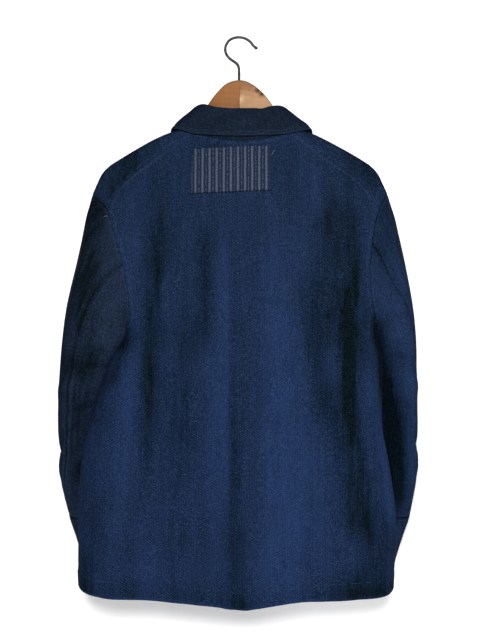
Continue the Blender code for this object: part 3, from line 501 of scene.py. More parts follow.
def side_line(side):
    """Side seam from the hem to the underarm: world x and height."""
    z = resample(np.array([(HEM_CORNER, 0.0), (ARMHOLE[side, "back"][-1][1], 0.0)]), WEAVE_STEP)[:, 0]
    return np.column_stack((SIGN[side] * half_width[side](z), z))


def armhole_line(side, face, rows=slice(None)):
    """Armhole seam from the shoulder down to the underarm: world x and height."""
    return spline(ARMHOLE[side, face][rows], WEAVE_STEP) * np.array((SIGN[side], 1))


def shoulder_line(side):
    """Rear shoulder seam from the neck out to the armhole."""
    return spline(SHOULDER[side], WEAVE_STEP) * np.array((SIGN[side], 1))


def hem_line(start, end):
    """Hem between two places along the cloth, ends left out: p and height."""
    p = resample(np.array([(start, 0.0), (end, 0.0)]), WEAVE_STEP)[1:-1, 0]
    return np.column_stack((p, hem_z(across(p, np.full(len(p), HEM_CORNER))[0])))


def back_side(side):
    """One side of the back from the hem corner up to the neck: m and height."""
    line = np.vstack((side_line(side), armhole_line(side, "back", slice(SEAM_CORNER, None))[-2::-1],
                      shoulder_line(side)[-2::-1]))
    return np.column_stack((-along(line[:, 0], line[:, 1]), line[:, 1]))


left_side, right_side = back_side("left"), back_side("right")
hem = hem_line(-left_side[0, 0], -right_side[0, 0]) * np.array((-1, 1))
neck = spline(NECK_BACK, WEAVE_STEP)[-2:0:-1] * np.array((-1, 1))
outline = np.vstack((hem, right_side, neck, left_side[::-1]))
kinds = (["hem"] * len(hem) + ["seam"] * (len(outline) - len(hem) - 1) + ["hem"])
# The back's painted light and shade comes from its bands.
back_cloth = cut_cloth("back_cloth", outline, kinds, back_place,
                       lambda spots: fold_push(PAINTED_SHADING, spots[:, 0], spots[:, 2]))


def wire_up(tree, value, socket):
    """Give a socket its value: another socket to link, a number or a colour."""
    if isinstance(value, (int, float)):
        socket.default_value = value
    elif isinstance(value, tuple):
        socket.default_value = (*value, 1.0)
    else:
        tree.links.new(value, socket)


def math_node(tree, operation, first, second=None, third=None):
    """A Math node; each value is a socket or a number."""
    node = tree.nodes.new("ShaderNodeMath")
    node.operation = operation
    for socket, value in zip(node.inputs, (first, second, third)):
        if value is not None:
            wire_up(tree, value, socket)
    return node.outputs[0]


def mix_colour(tree, share, first, second):
    """Blend of two colours by a share."""
    node = tree.nodes.new("ShaderNodeMix")
    node.data_type = "RGBA"
    for socket, value in zip((node.inputs["Factor"], node.inputs[6], node.inputs[7]), (share, first, second)):
        wire_up(tree, value, socket)
    return node.outputs[2]


def tint(tree, share, first, colour):
    """A colour multiplied by another, as far as a share says."""
    shaded = mix_colour(tree, share, first, colour)
    shaded.node.blend_type = "MULTIPLY"
    return shaded


def noise(tree, vector, scale, detail=2.0, stretch=(1.0, 1.0, 1.0)):
    """Noise of 0 to 1, stretched along the cloth."""
    mapping = tree.nodes.new("ShaderNodeMapping")
    mapping.inputs["Scale"].default_value = stretch
    wire_up(tree, vector, mapping.inputs["Vector"])
    node = tree.nodes.new("ShaderNodeTexNoise")
    node.inputs["Scale"].default_value = scale
    node.inputs["Detail"].default_value = detail
    wire_up(tree, mapping.outputs[0], node.inputs["Vector"])
    return node.outputs["Fac"]


def stretch_range(tree, value, low, high, to_low=0.0, to_high=1.0):
    """Map a range of a value to another, clamped."""
    node = tree.nodes.new("ShaderNodeMapRange")
    for socket, number in (("From Min", low), ("From Max", high), ("To Min", to_low), ("To Max", to_high)):
        node.inputs[socket].default_value = number
    wire_up(tree, value, node.inputs["Value"])
    return node.outputs[0]


def scaled(tree, vector, factor):
    """A vector times a factor."""
    node = tree.nodes.new("ShaderNodeVectorMath")
    node.operation = "SCALE"
    wire_up(tree, vector, node.inputs[0])
    wire_up(tree, factor, node.inputs["Scale"])
    return node.outputs[0]


def parts_of(tree, vector):
    """The three numbers of a vector."""
    node = tree.nodes.new("ShaderNodeSeparateXYZ")
    wire_up(tree, vector, node.inputs[0])
    return node.outputs


def object_place(tree):
    """Place in the object's own frame, in metres."""
    return tree.nodes.new("ShaderNodeTexCoord").outputs["Object"]


def cloth_place(tree):
    """Place on the flat cloth, in metres."""
    node = tree.nodes.new("ShaderNodeUVMap")
    node.uv_map = "cloth"
    return node.outputs[0]


def raised_normal(tree, height, distance, strength):
    """Normal of a surface raised by up to a distance in millimetres."""
    node = tree.nodes.new("ShaderNodeBump")
    node.inputs["Distance"].default_value = distance * MM
    node.inputs["Strength"].default_value = strength
    wire_up(tree, height, node.inputs["Height"])
    return node.outputs[0]


def new_material(name, values):
    """A new material with these plain values on its shader, its node tree and the shader."""
    material = bpy.data.materials.new(name)
    material.use_nodes = True
    tree = material.node_tree
    shader = tree.nodes["Principled BSDF"]
    for socket, value in values.items():
        wire_up(tree, value, shader.inputs[socket])
    return material, tree, shader


def new_sockets(tree, direction, sockets):
    """Named sockets of a group: name, kind, and the value to start from."""
    for name, kind, *value in sockets:
        socket = tree.interface.new_socket(name, in_out=direction, socket_type="NodeSocket" + kind)
        if value:
            socket.default_value = value[0]


# Noise that the weave is built from, as its scale across the cloth, along it and out of it, for
# each millimetre: single yarns and specks, slubs down the warp, broader streaks, and the fraying of
# the wear and painted light and shade.
YARN = (0.40, 0.15, 0.37)
SPECK = (0.72, 0.28, 0.68)
SLUB = (0.17, 0.011, 1.0)
BROAD = (0.028, 0.0028, 1.0)
FRAY = (0.13, 0.022, 1.0)
# How much of the grain comes from single yarns, specks, upright ridges and slanting ribs.
YARN_SHARE = 0.66
SPECK_SHARE = 0.76
WALE_SHARE = 0.12
RIB_SHARE = 0.32
RIB_SLANT = 0.68            # rise of a rib for each millimetre across
RIB = 3.64                  # between ribs, and the width of a column of them
COLUMN = 19.0
WALE = 3.9                  # between the warp's upright ridges
FADED_SHARE = 0.42          # how far cloth with no wear or painted shading lies from the deep tone to the light
SUNK_YARN = (0.02, 0.26, 0.50)
RAISED_YARN = (0.044, 0.072, 0.152)


def weave_group():
    """Hand-woven twill: diagonal ribs in herringbone columns, warp slubs, pale raised yarns, and the wear and
    painted light and shade that the cloth is given.
    """
    tree = bpy.data.node_groups.new("indigo twill", "ShaderNodeTree")
    new_sockets(tree, "INPUT", (("Cloth", "Vector"), ("Place", "Vector"), ("Deep", "Color"),
                                ("Light", "Color"), ("Rib mm", "Float", RIB),
                                ("Column mm", "Float", COLUMN), ("Streaks", "Float", 1.0),
                                ("Grain", "Float", 1.0), ("Ribs", "Float", 1.0), ("Wear", "Float", 0.0)))
    new_sockets(tree, "OUTPUT", (("Colour", "Color"), ("Height", "Float"), ("Roughness", "Float")))
    given = tree.nodes.new("NodeGroupInput").outputs
    result = tree.nodes.new("NodeGroupOutput").inputs
    flat = scaled(tree, given["Cloth"], 1 / MM)
    nap = scaled(tree, given["Place"], 1 / MM)
    over, up, _ = parts_of(tree, flat)

    weft = math_node(tree, "ADD", up, math_node(tree, "MULTIPLY", noise(tree, flat, 0.06), 3.0))
    column = math_node(tree, "PINGPONG", over, given["Column mm"])
    slant = math_node(tree, "MULTIPLY_ADD", column, RIB_SLANT, weft)
    turn = math_node(tree, "MULTIPLY", math_node(tree, "DIVIDE", slant, given["Rib mm"]), 2 * math.pi)
    rib = math_node(tree, "SINE", turn)
    wale = math_node(tree, "SINE", math_node(tree, "MULTIPLY", over, 2 * math.pi / WALE))
    yarn = noise(tree, nap, 1.0, 2.0, YARN)
    speck = noise(tree, nap, 1.0, 1.0, SPECK)

    streak = 0.0
    for patch_noise, strength in ((noise(tree, flat, 1.0, 2.0, SLUB), 0.055),
                                  (noise(tree, flat, 1.0, 2.0, BROAD), 0.09),
                                  (noise(tree, flat, 0.016, 3.0), 0.06)):
        swing = stretch_range(tree, patch_noise, 0.3, 0.7, -1.0, 1.0)
        streak = math_node(tree, "MULTIPLY_ADD", swing, strength, streak)
    streak = math_node(tree, "MULTIPLY", streak, given["Streaks"])
    fray = stretch_range(tree, noise(tree, flat, 1.0, 3.0, FRAY), 0.3, 0.7, 0.55, 1.0)
    share = math_node(tree, "ADD", math_node(tree, "MULTIPLY", given["Wear"], fray), streak)
    share = stretch_range(tree, math_node(tree, "ADD", share, FADED_SHARE), 0.0, 1.0)

    grain = math_node(tree, "MULTIPLY", stretch_range(tree, yarn, 0.25, 0.75, -1.0, 1.0), YARN_SHARE)
    speckle = stretch_range(tree, speck, 0.25, 0.75, -1.0, 1.0)
    grain = math_node(tree, "MULTIPLY_ADD", speckle, SPECK_SHARE, grain)
    woven = math_node(tree, "MULTIPLY_ADD", wale, WALE_SHARE, math_node(tree, "MULTIPLY", rib, RIB_SHARE))
    grain = math_node(tree, "MULTIPLY_ADD", woven, given["Ribs"], grain)
    grain = math_node(tree, "MULTIPLY", grain, given["Grain"])
    raised_yarn = math_node(tree, "MULTIPLY", stretch_range(tree, grain, 0.0, 1.0, 0.0, 0.36),
                            stretch_range(tree, share, 0.0, 0.35, 0.38, 1.0))
    sunk_yarn = stretch_range(tree, grain, -1.0, 0.0, 0.62, 0.0)
    toned = tint(tree, sunk_yarn, mix_colour(tree, share, given["Deep"], given["Light"]), SUNK_YARN)
    wire_up(tree, mix_colour(tree, raised_yarn, toned, RAISED_YARN), result["Colour"])
    rib_height = math_node(tree, "MULTIPLY", rib, 0.35)
    wire_up(tree, math_node(tree, "MULTIPLY_ADD", yarn, 1.6, rib_height), result["Height"])
    wire_up(tree, stretch_range(tree, yarn, 0.2, 0.8, 0.82, 0.98), result["Roughness"])
    return tree


WEAVE = weave_group()
GREYER_BETWEEN = (-0.60, -0.20)     # heights in metres over which the dye turns greyer
GREYER = (0.99, 0.94, 0.84)
CLOTH_RELIEF = (0.35, 0.35)         # height of the weave in millimetres and how much of it shows
CLOTH_FINISH = {"Sheen Weight": 0.004, "Sheen Roughness": 0.5, "Sheen Tint": (0.55, 0.66, 0.95),
                "Specular IOR Level": 0.02}


def cloth_material(name, deep, light, streaks=1.0, grain=1.0, ribs=1.0):
    """Indigo cloth in these two tones."""
    material, tree, shader = new_material(name, CLOTH_FINISH)
    weave = tree.nodes.new("ShaderNodeGroup")
    weave.node_tree = WEAVE
    # The cloth's wear and its painted light and shade, stored on its points.
    wear_and_painted_shading = tree.nodes.new("ShaderNodeAttribute")
    wear_and_painted_shading.attribute_name = "wear_and_painted_shading"
    place = object_place(tree)
    values = {"Cloth": cloth_place(tree), "Place": place, "Wear": wear_and_painted_shading.outputs["Fac"], "Deep": deep,
              "Light": light, "Streaks": streaks, "Grain": grain, "Ribs": ribs}
    for socket, value in values.items():
        wire_up(tree, value, weave.inputs[socket])
    greyer = stretch_range(tree, parts_of(tree, place)[2], *GREYER_BETWEEN)
    wire_up(tree, tint(tree, greyer, weave.outputs["Colour"], GREYER), shader.inputs["Base Color"])
    wire_up(tree, weave.outputs["Roughness"], shader.inputs["Roughness"])
    wire_up(tree, raised_normal(tree, weave.outputs["Height"], *CLOTH_RELIEF), shader.inputs["Normal"])
    return material


# Deep and light tone of the body.
BODY_DEEP = (0.0011, 0.0041, 0.0050)
BODY_LIGHT = (0.0147, 0.0334, 0.1020)
body_indigo = cloth_material("body indigo", BODY_DEEP, BODY_LIGHT)
back_cloth.data.materials.append(body_indigo)
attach(back_cloth, "root")
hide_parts("back")


# ---------------------------------------------------------------- the two fronts
# Each front runs from the hem up the chest, over the hanger and down to the rear shoulder
# seam, so its upper end is seen from behind.  Both have a turned front edge, and the left
# one laps over the right.
LAP_HALF = 18.0             # how far each front runs past the middle
LAP_LIFT = 3.0              # rise of the left front over the right, where it starts and its run
LAP_START = 48.0
LAP_RUN = 26.0
RIDGE_RUN = 15.3            # run of the cloth round its turn over the ridge
FRONT_SHIFT = RIDGE_RUN - RIDGE_ROUND_Z
SHOULDER_TONE_SHARE = 0.25  # share of the shoulders' painted light and shade that shows on the chest
SHOULDER_DEEP = 35.0        # depth over which they fade to that
# Bands of painted light and shade over the shoulders and down the chest, laid out like those of the back:
# painted shade over the shoulders, pale on the chest's fold ridges and dark in its troughs.
SHOULDER_PAINTED_SHADING = (PAINTED_SHADING[0], (140, -40, 228, -350, 70, 56, -0.34, 0, 2),
                  (-130, -60, -225, -270, 44, 48, -0.28, 0, 2))
FRONT_PAINTED_SHADING = (PAINTED_SHADING[0],
               (120, -240, 138, -905, 18, 20, -0.25, 4, 0), (-118, -250, -126, -905, 20, 16, -0.22, 4, 0),
               (72, -400, 78, -910, 24, 20, 0.22, 3, 0), (-70, -340, -84, -910, 22, 26, 0.24, 3, 0),
               (178, -360, 192, -900, 18, 16, 0.26, 2, 0), (-176, -380, -190, -900, 16, 20, 0.22, 2, 0))
# Neck seam of a front: world x, and how far below the ridge, behind it (above 0) or before it.
NECK_FRONT = ((87.5, 4), (89.5, 0), (89.2, -5), (87, -16), (83, -30), (77, -44), (68, -58),
              (56, -70), (42, -80), (26, -87), (6, -91))


def front_point(p, q, side):
    """Places on the outside of a front; q runs up it, over the ridge and down the back."""
    x, side_turn = across(p, q + FRONT_SHIFT)
    ridge = ridge_z(np.abs(x))
    run = np.abs(ridge - q)
    turn = np.clip(run / RIDGE_RUN, 0.0, 1.0) * np.pi / 2
    drop = RIDGE_ROUND_Z * (1 - np.cos(turn)) + np.maximum(run - RIDGE_RUN, 0.0)
    z = ridge - drop
    behind = body_y("back", x, z, drop, side_turn, turn)
    before = -body_y("front", x, z, drop, side_turn, turn)
    if side == "left":
        before = before - LAP_LIFT * ease((LAP_START - x) / LAP_RUN)
    return np.column_stack((x, np.where(q > ridge, behind, before), z))


def front_place(side):
    """The place of one front as a function of p and q."""
    return lambda p, q: front_point(p, q, side)


def front_q(x, z, face):
    """Place up a front's cloth for a world x and height on either face."""
    ridge = ridge_z(np.abs(x))
    drop = np.maximum(ridge - z, 0.0)
    turned = RIDGE_RUN * np.arccos(np.clip(1 - drop / RIDGE_ROUND_Z, 0.0, 1.0)) / (np.pi / 2)
    run = np.where(drop >= RIDGE_ROUND_Z, RIDGE_RUN + drop - RIDGE_ROUND_Z, turned)
    return ridge + run if face == "back" else ridge - run


def flat_line(line, face):
    """A seam line of world x and height as p and q."""
    x, z = line[:, 0], line[:, 1]
    return np.column_stack((along(x, z), front_q(x, z, face)))


def front_outline(side):
    """Outline of one front and the kind of each of its edges."""
    sign = SIGN[side]
    lap = -sign * LAP_HALF
    up = np.vstack((flat_line(side_line(side), "front"),
                    flat_line(armhole_line(side, "front")[-2::-1], "front"),
                    flat_line(armhole_line(side, "back", slice(0, SEAM_CORNER + 1))[1:], "back"),
                    flat_line(shoulder_line(side)[-2::-1], "back")))
    neck = spline(NECK_FRONT, WEAVE_STEP)
    x = sign * neck[:, 0]
    z = ridge_z(neck[:, 0]) - np.abs(neck[:, 1])
    q = np.where(neck[:, 1] > 0, front_q(x, z, "back"), front_q(x, z, "front"))
    neck = np.column_stack((along(x, z), q))
    hem = hem_line(lap, up[0, 0]) - np.array((0, FRONT_SHIFT))
    low = float(hem_z(lap)) - FRONT_SHIFT
    middle = resample(np.array([(lap, neck[-1, 1] - 1.0), (lap, low)]), WEAVE_STEP)
    kinds = ["hem"] * len(hem) + ["seam"] * (len(up) + len(neck)) + ["edge"] * len(middle)
    kinds[-1] = "hem"
    outline = np.vstack((hem, up, neck, middle))
    if side == "right":
        outline = outline[::-1]
        kinds = kinds[-2::-1] + ["hem"]
    return outline, kinds


def front_painted_shading(spots):
    """Painted light and shade of a front: how much paler or darker it is at places in space; its shoulder
    bands fade in front.
    """
    behind = ease((spots[:, 1] + SHOULDER_DEEP) / SHOULDER_DEEP)
    over_shoulder = SHOULDER_TONE_SHARE + (1 - SHOULDER_TONE_SHARE) * behind
    return (fold_push(FRONT_PAINTED_SHADING, spots[:, 0], spots[:, 2])
            + fold_push(SHOULDER_PAINTED_SHADING, spots[:, 0], spots[:, 2]) * over_shoulder)


for side in SIGN:
    outline, kinds = front_outline(side)
    front = cut_cloth(f"front_{side}_cloth", outline, kinds, front_place(side), front_painted_shading)
    front.data.materials.append(body_indigo)
    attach(front, "root")
    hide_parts("front_" + side)


# ---------------------------------------------------------------- the sleeves and cuffs
# Two-piece sleeves set into the armholes: an upper piece outside, an under piece inside, and
# a doubled cuff.  They hang forward from the shoulder, bent at the elbow, so their lower
# ends pass in front of the body.

# Each sleeve's rings from the armhole down: its middle, then the reach of one half-width in
# x, y and z, then that of the other in x and y.  x is without its sign.
SLEEVE = {
    "left": ((219, -4, -382, 28, 0, 88, -4, 46), (230, -9, -417, 27, -3, 69, 7, 50),
             (240, -17, -456, 28, -9, 51, 15, 52), (248, -28, -500, 27, -14, 33, 20, 54),
             (257, -42, -562, 25, -15, 12, 20, 56), (262, -56, -620, 23, -12, 2, 19, 56),
             (254, -66, -662, 25, -14, 0, 26, 50), (248, -80, -712, 22, -20, 0, 36, 42),
             (229, -92, -770, 12, -28, 0, 50, 22)),
    "right": ((237, -5, -376, 10, 0, 86, 4, 46), (244, -12, -410, 13, -4, 67, 12, 50),
              (249, -22, -448, 15, -9, 47, 18, 50), (251, -35, -490, 18, -12, 29, 22, 50),
              (250, -48, -556, 20, -14, 10, 26, 50), (251, -58, -614, 21, -14, 2, 27, 50),
              (249, -68, -660, 22, -17, 0, 30, 46), (242, -80, -712, 21, -21, 0, 39, 40),
              (227, -92, -770, 12, -28, 0, 51, 20)),
}
CUFF_END = {"left": (205, -93, -852, 5, -29, 0, 52, 9), "right": (204, -93, -850, 5, -29, 0, 51, 9)}
ELBOW_ROW = {"left": 8, "right": 7}     # rows of the armhole where the sleeve's own seams start
FOREARM_ROW = 7
CAP_ROWS = 13               # rows of points over the cap, down the sleeve and down the cuff
SLEEVE_ROWS = 128
CUFF_ROWS = 20
CUFF_TURNS = 84
TURNS_PER_RADIAN = 12       # points round the sleeve
PAST_SEAM = 0.8             # radians past its seams to which a piece's rings are worked out
CUFF_WALL = 2.6
CUFF_SWELL = 0.8
CUFF_STITCH_UP = 6.0        # stitching above the cuff's lower edge
CUFF_SHADE = 0.3            # how much darker the cuff is at its seam, and for how far
CUFF_SHADE_DEPTH = 30.0
# How each sleeve lies over onto the body: degrees round it, between which heights, how far.
SLEEVE_REST = {"left": (150.0, -440.0, -690.0, 22.0), "right": (200.0, -440.0, -560.0, 15.0)}
REST_WIDTH = 48.0           # degrees round the sleeve that rest there
REST_FADE = (30.0, 90.0)    # lengths over which that starts and ends
SLEEVE_SQUARE = {"left": 0.92, "right": 1.0}    # below 1 it is squarer than an ellipse
SLEEVE_SPREAD = 60.0        # cloth across a sleeve for each radian round it
SLEEVE_LONG = 560.0
# How far the elbow seam bows back from a straight run down the sleeve and how far round from
# it the cloth follows, in radians; the bow is full and over by these shares of the way down.
ELBOW_BOW = {"left": 0.0, "right": 0.45}
BOW_REACH = 1.4
BOW_START = 0.08
BOW_END = 0.5
BOW_FADE = 0.4
# Sleeve folds: where each starts and ends, by degrees round from the top and the share of
# the way down, with its width and depth in millimetres.
SLEEVE_FOLDS = (("turn", "down", "turn_end", "down_end", "width", "depth"),
                (150, 0.10, 60, 0.34, 11, -3.4), (165, 0.20, 80, 0.42, 9, 2.6),
                (172, 0.38, 70, 0.50, 9, -3.6), (168, 0.47, 50, 0.56, 10, 3.0),
                (160, 0.56, 70, 0.62, 8, -3.2), (120, 0.62, 40, 0.80, 12, -3.0),
                (95, 0.70, 20, 0.95, 10, 2.4), (140, 0.80, 110, 0.99, 9, -2.4),
                (200, 0.36, 300, 0.46, 10, -3.6), (205, 0.46, 300, 0.54, 9, 3.0),
                (200, 0.56, 310, 0.63, 9, -3.2), (240, 0.10, 320, 0.30, 12, -2.8),
                (250, 0.66, 330, 0.90, 12, -2.8), (225, 0.80, 260, 0.99, 10, 2.2),
                (20, 0.05, 35, 0.30, 14, -1.8), (330, 0.12, 345, 0.40, 14, 1.6))


def armhole_loop(side):
    """The armhole seam in space, with each point's turn round the sleeve in radians."""
    back = armhole_line(side, "back")
    front = armhole_line(side, "front")[::-1]
    down = back_point(along(back[:, 0], back[:, 1]), back[:, 1])
    up = flat_line(front, "front")
    up = front_point(up[:, 0], up[:, 1], side)
    run_down, run_up = run_along(down), run_along(up)
    turns = (math.pi * run_down[:-1] / run_down[-1], math.pi + math.pi * run_up / run_up[-1])
    return np.vstack((down[:-1], up)), np.concatenate(turns)


def turn_of_row(side, face, row):
    """How far round the sleeve a row of the armhole table lies."""
    points, turns = armhole_loop(side)
    x, z = (np.array([float(value)]) for value in ARMHOLE[side, face][row])
    x = SIGN[side] * x
    if face == "back":
        spot = back_point(along(x, z), z)
    else:
        spot = front_point(along(x, z), front_q(x, z, "front"), side)
    return turns[np.argmin(np.linalg.norm(points - spot, axis=1))]


def section(row, side, turns):
    """One ring of the sleeve."""
    cx, cy, cz, ax, ay, az, bx, by = row
    c, s = (np.sign(wave) * np.abs(wave) ** SLEEVE_SQUARE[side] for wave in (np.cos(turns), np.sin(turns)))
    return np.column_stack((SIGN[side] * (cx + ax * c + bx * s), cy + ay * c + by * s, cz + az * c))


def sleeve_grid(side, turns):
    """Rings of the whole sleeve from the armhole to the cuff seam, then those of the cuff."""
    points, known = armhole_loop(side)
    wrapped = np.mod(turns, 2 * math.pi)
    top = np.column_stack([np.interp(wrapped, known, points[:, k]) for k in range(3)])
    steps = SLEEVE_ROWS // (len(SLEEVE[side]) - 1)
    rings = [section(row, side, turns) for row in blend(SLEEVE[side], steps)]
    leave = rings[0] - top
    arrive = unit(rings[1] - rings[0]) * np.linalg.norm(leave, axis=1)[:, None]
    cap = [hermite(t, top, rings[0], leave, arrive) for t in np.linspace(0, 1, CAP_ROWS, endpoint=False)]
    turn, high, low, reach = SLEEVE_REST[side]
    rest = SIGN[side] * bump(turn_gap(turns, turn), REST_WIDTH) * reach
    for ring in cap + rings:
        ring[:, 0] -= (rest * ease((high - ring[:, 2]) / REST_FADE[0])
                       * ease((ring[:, 2] - low) / REST_FADE[1]))
    last, end = np.array(SLEEVE[side][-1], float), np.array(CUFF_END[side], float)
    cuff = [section(last + (end - last) * t, side, turns) for t in np.linspace(0, 1, CUFF_ROWS)]
    return np.array(cap + rings), np.array(cuff)


def grid_out(grid, guide=None, closed=False):
    """Unit normals of a grid of points, turned the way that most of them agree with a guide."""
    over = np.roll(grid, -1, axis=1) - np.roll(grid, 1, axis=1) if closed else np.gradient(grid, axis=1)
    out = unit(np.cross(over, np.gradient(grid, axis=0)))
    return -out if guide is not None and np.sum(out * guide) < 0 else out


def from_middle(grid):
    """Where each point of a grid lies from the middle of its own ring."""
    return grid - grid.mean(axis=1)[:, None]


def grid_quads(rows, columns, closed=False):
    """Quads of a grid stored row by row."""
    quads = []
    for r in range(rows - 1):
        for c in range(columns if closed else columns - 1):
            d = (c + 1) % columns
            quads.append((r * columns + c, r * columns + d, (r + 1) * columns + d, (r + 1) * columns + c))
    return quads


def runs(grid, axis):
    """Distance along a grid's rows or columns in millimetres."""
    step = np.linalg.norm(np.diff(grid, axis=axis), axis=2)
    start = np.zeros_like(np.take(step, [0], axis=axis))
    return np.concatenate((start, np.cumsum(step, axis=axis)), axis=axis)


def turn_gap(turns, degrees):
    """How many degrees round the sleeve each turn lies from another."""
    return np.abs(np.mod(np.degrees(turns) - degrees + 180, 360) - 180)


def sleeve_folds(turns, shares):
    """Push of the sleeve's folds over a grid of turns and shares of the way down."""
    push = np.zeros((len(shares), len(turns)))
    degrees = np.mod(np.degrees(turns), 360)[None, :]
    for fold in named_rows(SLEEVE_FOLDS):
        run_over = fold["turn_end"] - fold["turn"]
        run_down = (fold["down_end"] - fold["down"]) * SLEEVE_LONG
        over = np.mod(degrees - fold["turn"] + 180, 360) - 180
        down = (shares[:, None] - fold["down"]) * SLEEVE_LONG
        t = np.clip((over * run_over + down * run_down) / (run_over ** 2 + run_down ** 2), 0, 1)
        gap = np.hypot(over - t * run_over, down - t * run_down)
        push += fold["depth"] * np.sin(np.pi * (0.12 + 0.76 * t)) * bump(gap, fold["width"])
    return push


FRONT_TONE_SHARE = 0.3      # share of a sleeve's painted light and shade that shows on its front
# Deep and light tone of each sleeve, one cloth in a shaded and a lit copy: the left is greyer and
# painted darker as shade, the right paler and bluer as lit.
SLEEVE_INDIGO_PAINTED_SHADING = {"left": ((0.0016, 0.0044, 0.0058), (0.0182, 0.0312, 0.073)),
                 "right": ((0.0010, 0.0040, 0.0064), (0.0175, 0.0375, 0.106))}
# Bands of painted light and shade down each sleeve, given like those of the body: painted shade
# down its sides and in the gap by the body, painted light along its inner edge.
SLEEVE_PAINTED_SHADING = {"left": (PAINTED_SHADING[0], (212, -190, 246, -440, 44, 20, -0.48, 0, 2),
                         (248, -330, 268, -780, 38, 34, -0.34, 0, 2),
                         (262, -480, 262, -600, 30, 30, -0.20, 0, 2),
                         (226, -430, 238, -690, 18, 16, -0.30, 0, 2),
                         (268, -430, 270, -600, 14, 16, 0.14, 0, 2),
                         (233, -690, 236, -800, 14, 14, -0.30, 0, 2),
                         (222, -490, 256, -700, 12, 14, 0.28, 0, 2)),
                "right": (PAINTED_SHADING[0], (-206, -180, -232, -400, 30, 30, -0.28, 0, 2),
                          (-234, -480, -258, -810, 20, 12, -0.60, 0, 2),
                          (-252, -560, -256, -760, 14, 14, -0.34, 0, 2),
                          (-219, -430, -226, -590, 7, 8, -0.50, 0, 2),
                          (-238, -400, -244, -500, 14, 16, 0.20, 0, 2))}
for side, sign in SIGN.items():
    # Each sleeve and its cuff get their own copy of the cloth, painted darker as shade on the left and paler
    # as lit on the right.
    sleeve_indigo_painted_shading = cloth_material(f"sleeve indigo {side}", *SLEEVE_INDIGO_PAINTED_SHADING[side], grain=0.9, ribs=0.3)
    elbow = turn_of_row(side, "back", ELBOW_ROW[side])
    forearm = turn_of_row(side, "front", FOREARM_ROW)
    for part, start, end, facing in (("upper", forearm - 2 * math.pi, elbow, (sign, 0, 0.2)),
                                     ("under", elbow, forearm, (-sign, 0, 0))):
        turns = np.linspace(start, end, round((end - start) * TURNS_PER_RADIAN) + 1)
        wide = np.linspace(start - PAST_SEAM, end + PAST_SEAM, 3 * len(turns))
        grid, _ = sleeve_grid(side, wide)
        share = np.linspace(0, 1, len(grid))
        near_elbow = ease(1 - np.abs(turns - elbow) / BOW_REACH)
        bow = ELBOW_BOW[side] * ease(share / BOW_START) * ease((BOW_END - share) / BOW_FADE)
        grid = np.array([[np.interp(turns + shift * near_elbow, wide, ring[:, k]) for k in range(3)]
                         for ring, shift in zip(grid, bow)]).transpose(0, 2, 1)
        middle_line = np.zeros((1, len(turns), 3))
        middle_line[0, len(turns) // 2] = facing
        out = grid_out(grid, middle_line)
        over, down = runs(grid, 1), runs(grid, 0)
        near_side = np.minimum(over, over[:, -1:] - over)
        near_end = np.minimum(down, down[-1:] - down)
        seam = np.minimum(near_side, near_end)
        folds = sleeve_folds(turns, share) * ease(near_end / 30)
        height = seam_relief(seam) - 0.2 * bump(seam, VALLEY_WIDTH) + folds
        outer = (grid + out * height[:, :, None]).reshape(-1, 3)
        rear = FRONT_TONE_SHARE + (1 - FRONT_TONE_SHARE) * ease((out[..., 1].ravel() + 0.6) / 0.5)
        # Wear beside each seam and dark in it, painted shade in the folds' troughs and painted light on their
        # ridges, and the sleeve's painted bands, fainter on its front.
        wear_and_painted_shading = ((0.22 * bump(seam - 3.0, 1.6) - 0.3 * bump(seam, 1.3) + 0.1 * folds / 3).ravel()
                + fold_push(SLEEVE_PAINTED_SHADING[side], outer[:, 0], outer[:, 2]) * rear)
        flat = np.column_stack((np.broadcast_to(turns * SLEEVE_SPREAD, down.shape).ravel(),
                                np.repeat(-down.mean(axis=1), len(turns))))
        sleeve = make_cloth(f"sleeve_{part}_{side}_cloth", outer, out.reshape(-1, 3),
                            grid_quads(*grid.shape[:2]), flat, wear_and_painted_shading)
        sleeve.data.materials.append(sleeve_indigo_painted_shading)
        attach(sleeve, "root")
        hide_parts(f"sleeve_{part}_{side}")

    turns = np.linspace(0, 2 * math.pi, CUFF_TURNS, endpoint=False)
    _, grid = sleeve_grid(side, turns)
    out = grid_out(grid, from_middle(grid), closed=True)
    over, down = runs(grid, 1), runs(grid, 0)
    to_end = down[-1:] - down
    pucker = np.sin(over / 2.1 + 2 * np.sin(over / 15))
    height = (CUFF_SWELL - SEAM_VALLEY * bump(down, VALLEY_WIDTH)
              - STITCH_SUNK["edge"] * bump(down - STITCH_IN, STITCH_WIDTH)
              - STITCH_SUNK["edge"] * bump(to_end - CUFF_STITCH_UP, HEM_STITCH_WIDTH)
              + 0.25 * pucker * bump(to_end - CUFF_STITCH_UP, 7) + np.sin(turns * 2 + down / 30))
    wear_and_painted_shading = (0.4 * bump(to_end, 2.5) + 0.2 * bump(down - 2.5, 1.6) - 0.35 * bump(down, 1.2)
            - CUFF_SHADE * ease(1 - down / CUFF_SHADE_DEPTH))
    outer = (grid + out * height[:, :, None]).reshape(-1, 3)
    flat = np.column_stack((np.broadcast_to(turns * SLEEVE_SPREAD, down.shape).ravel(), -down.ravel()))
    cuff = make_cloth(f"cuff_{side}_cloth", outer, out.reshape(-1, 3),
                      grid_quads(*grid.shape[:2], True), flat, wear_and_painted_shading.ravel(), CUFF_WALL)
    cuff.data.materials.append(sleeve_indigo_painted_shading)
    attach(cuff, "root")
    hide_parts("cuff_" + side)


# ---------------------------------------------------------------- the collar
# A stand sewn round the neck and a fall turned over it.  Both are doubled cloth; the fall is
# topstitched near its edge, and between them shows a narrow dark band above the neck seam.

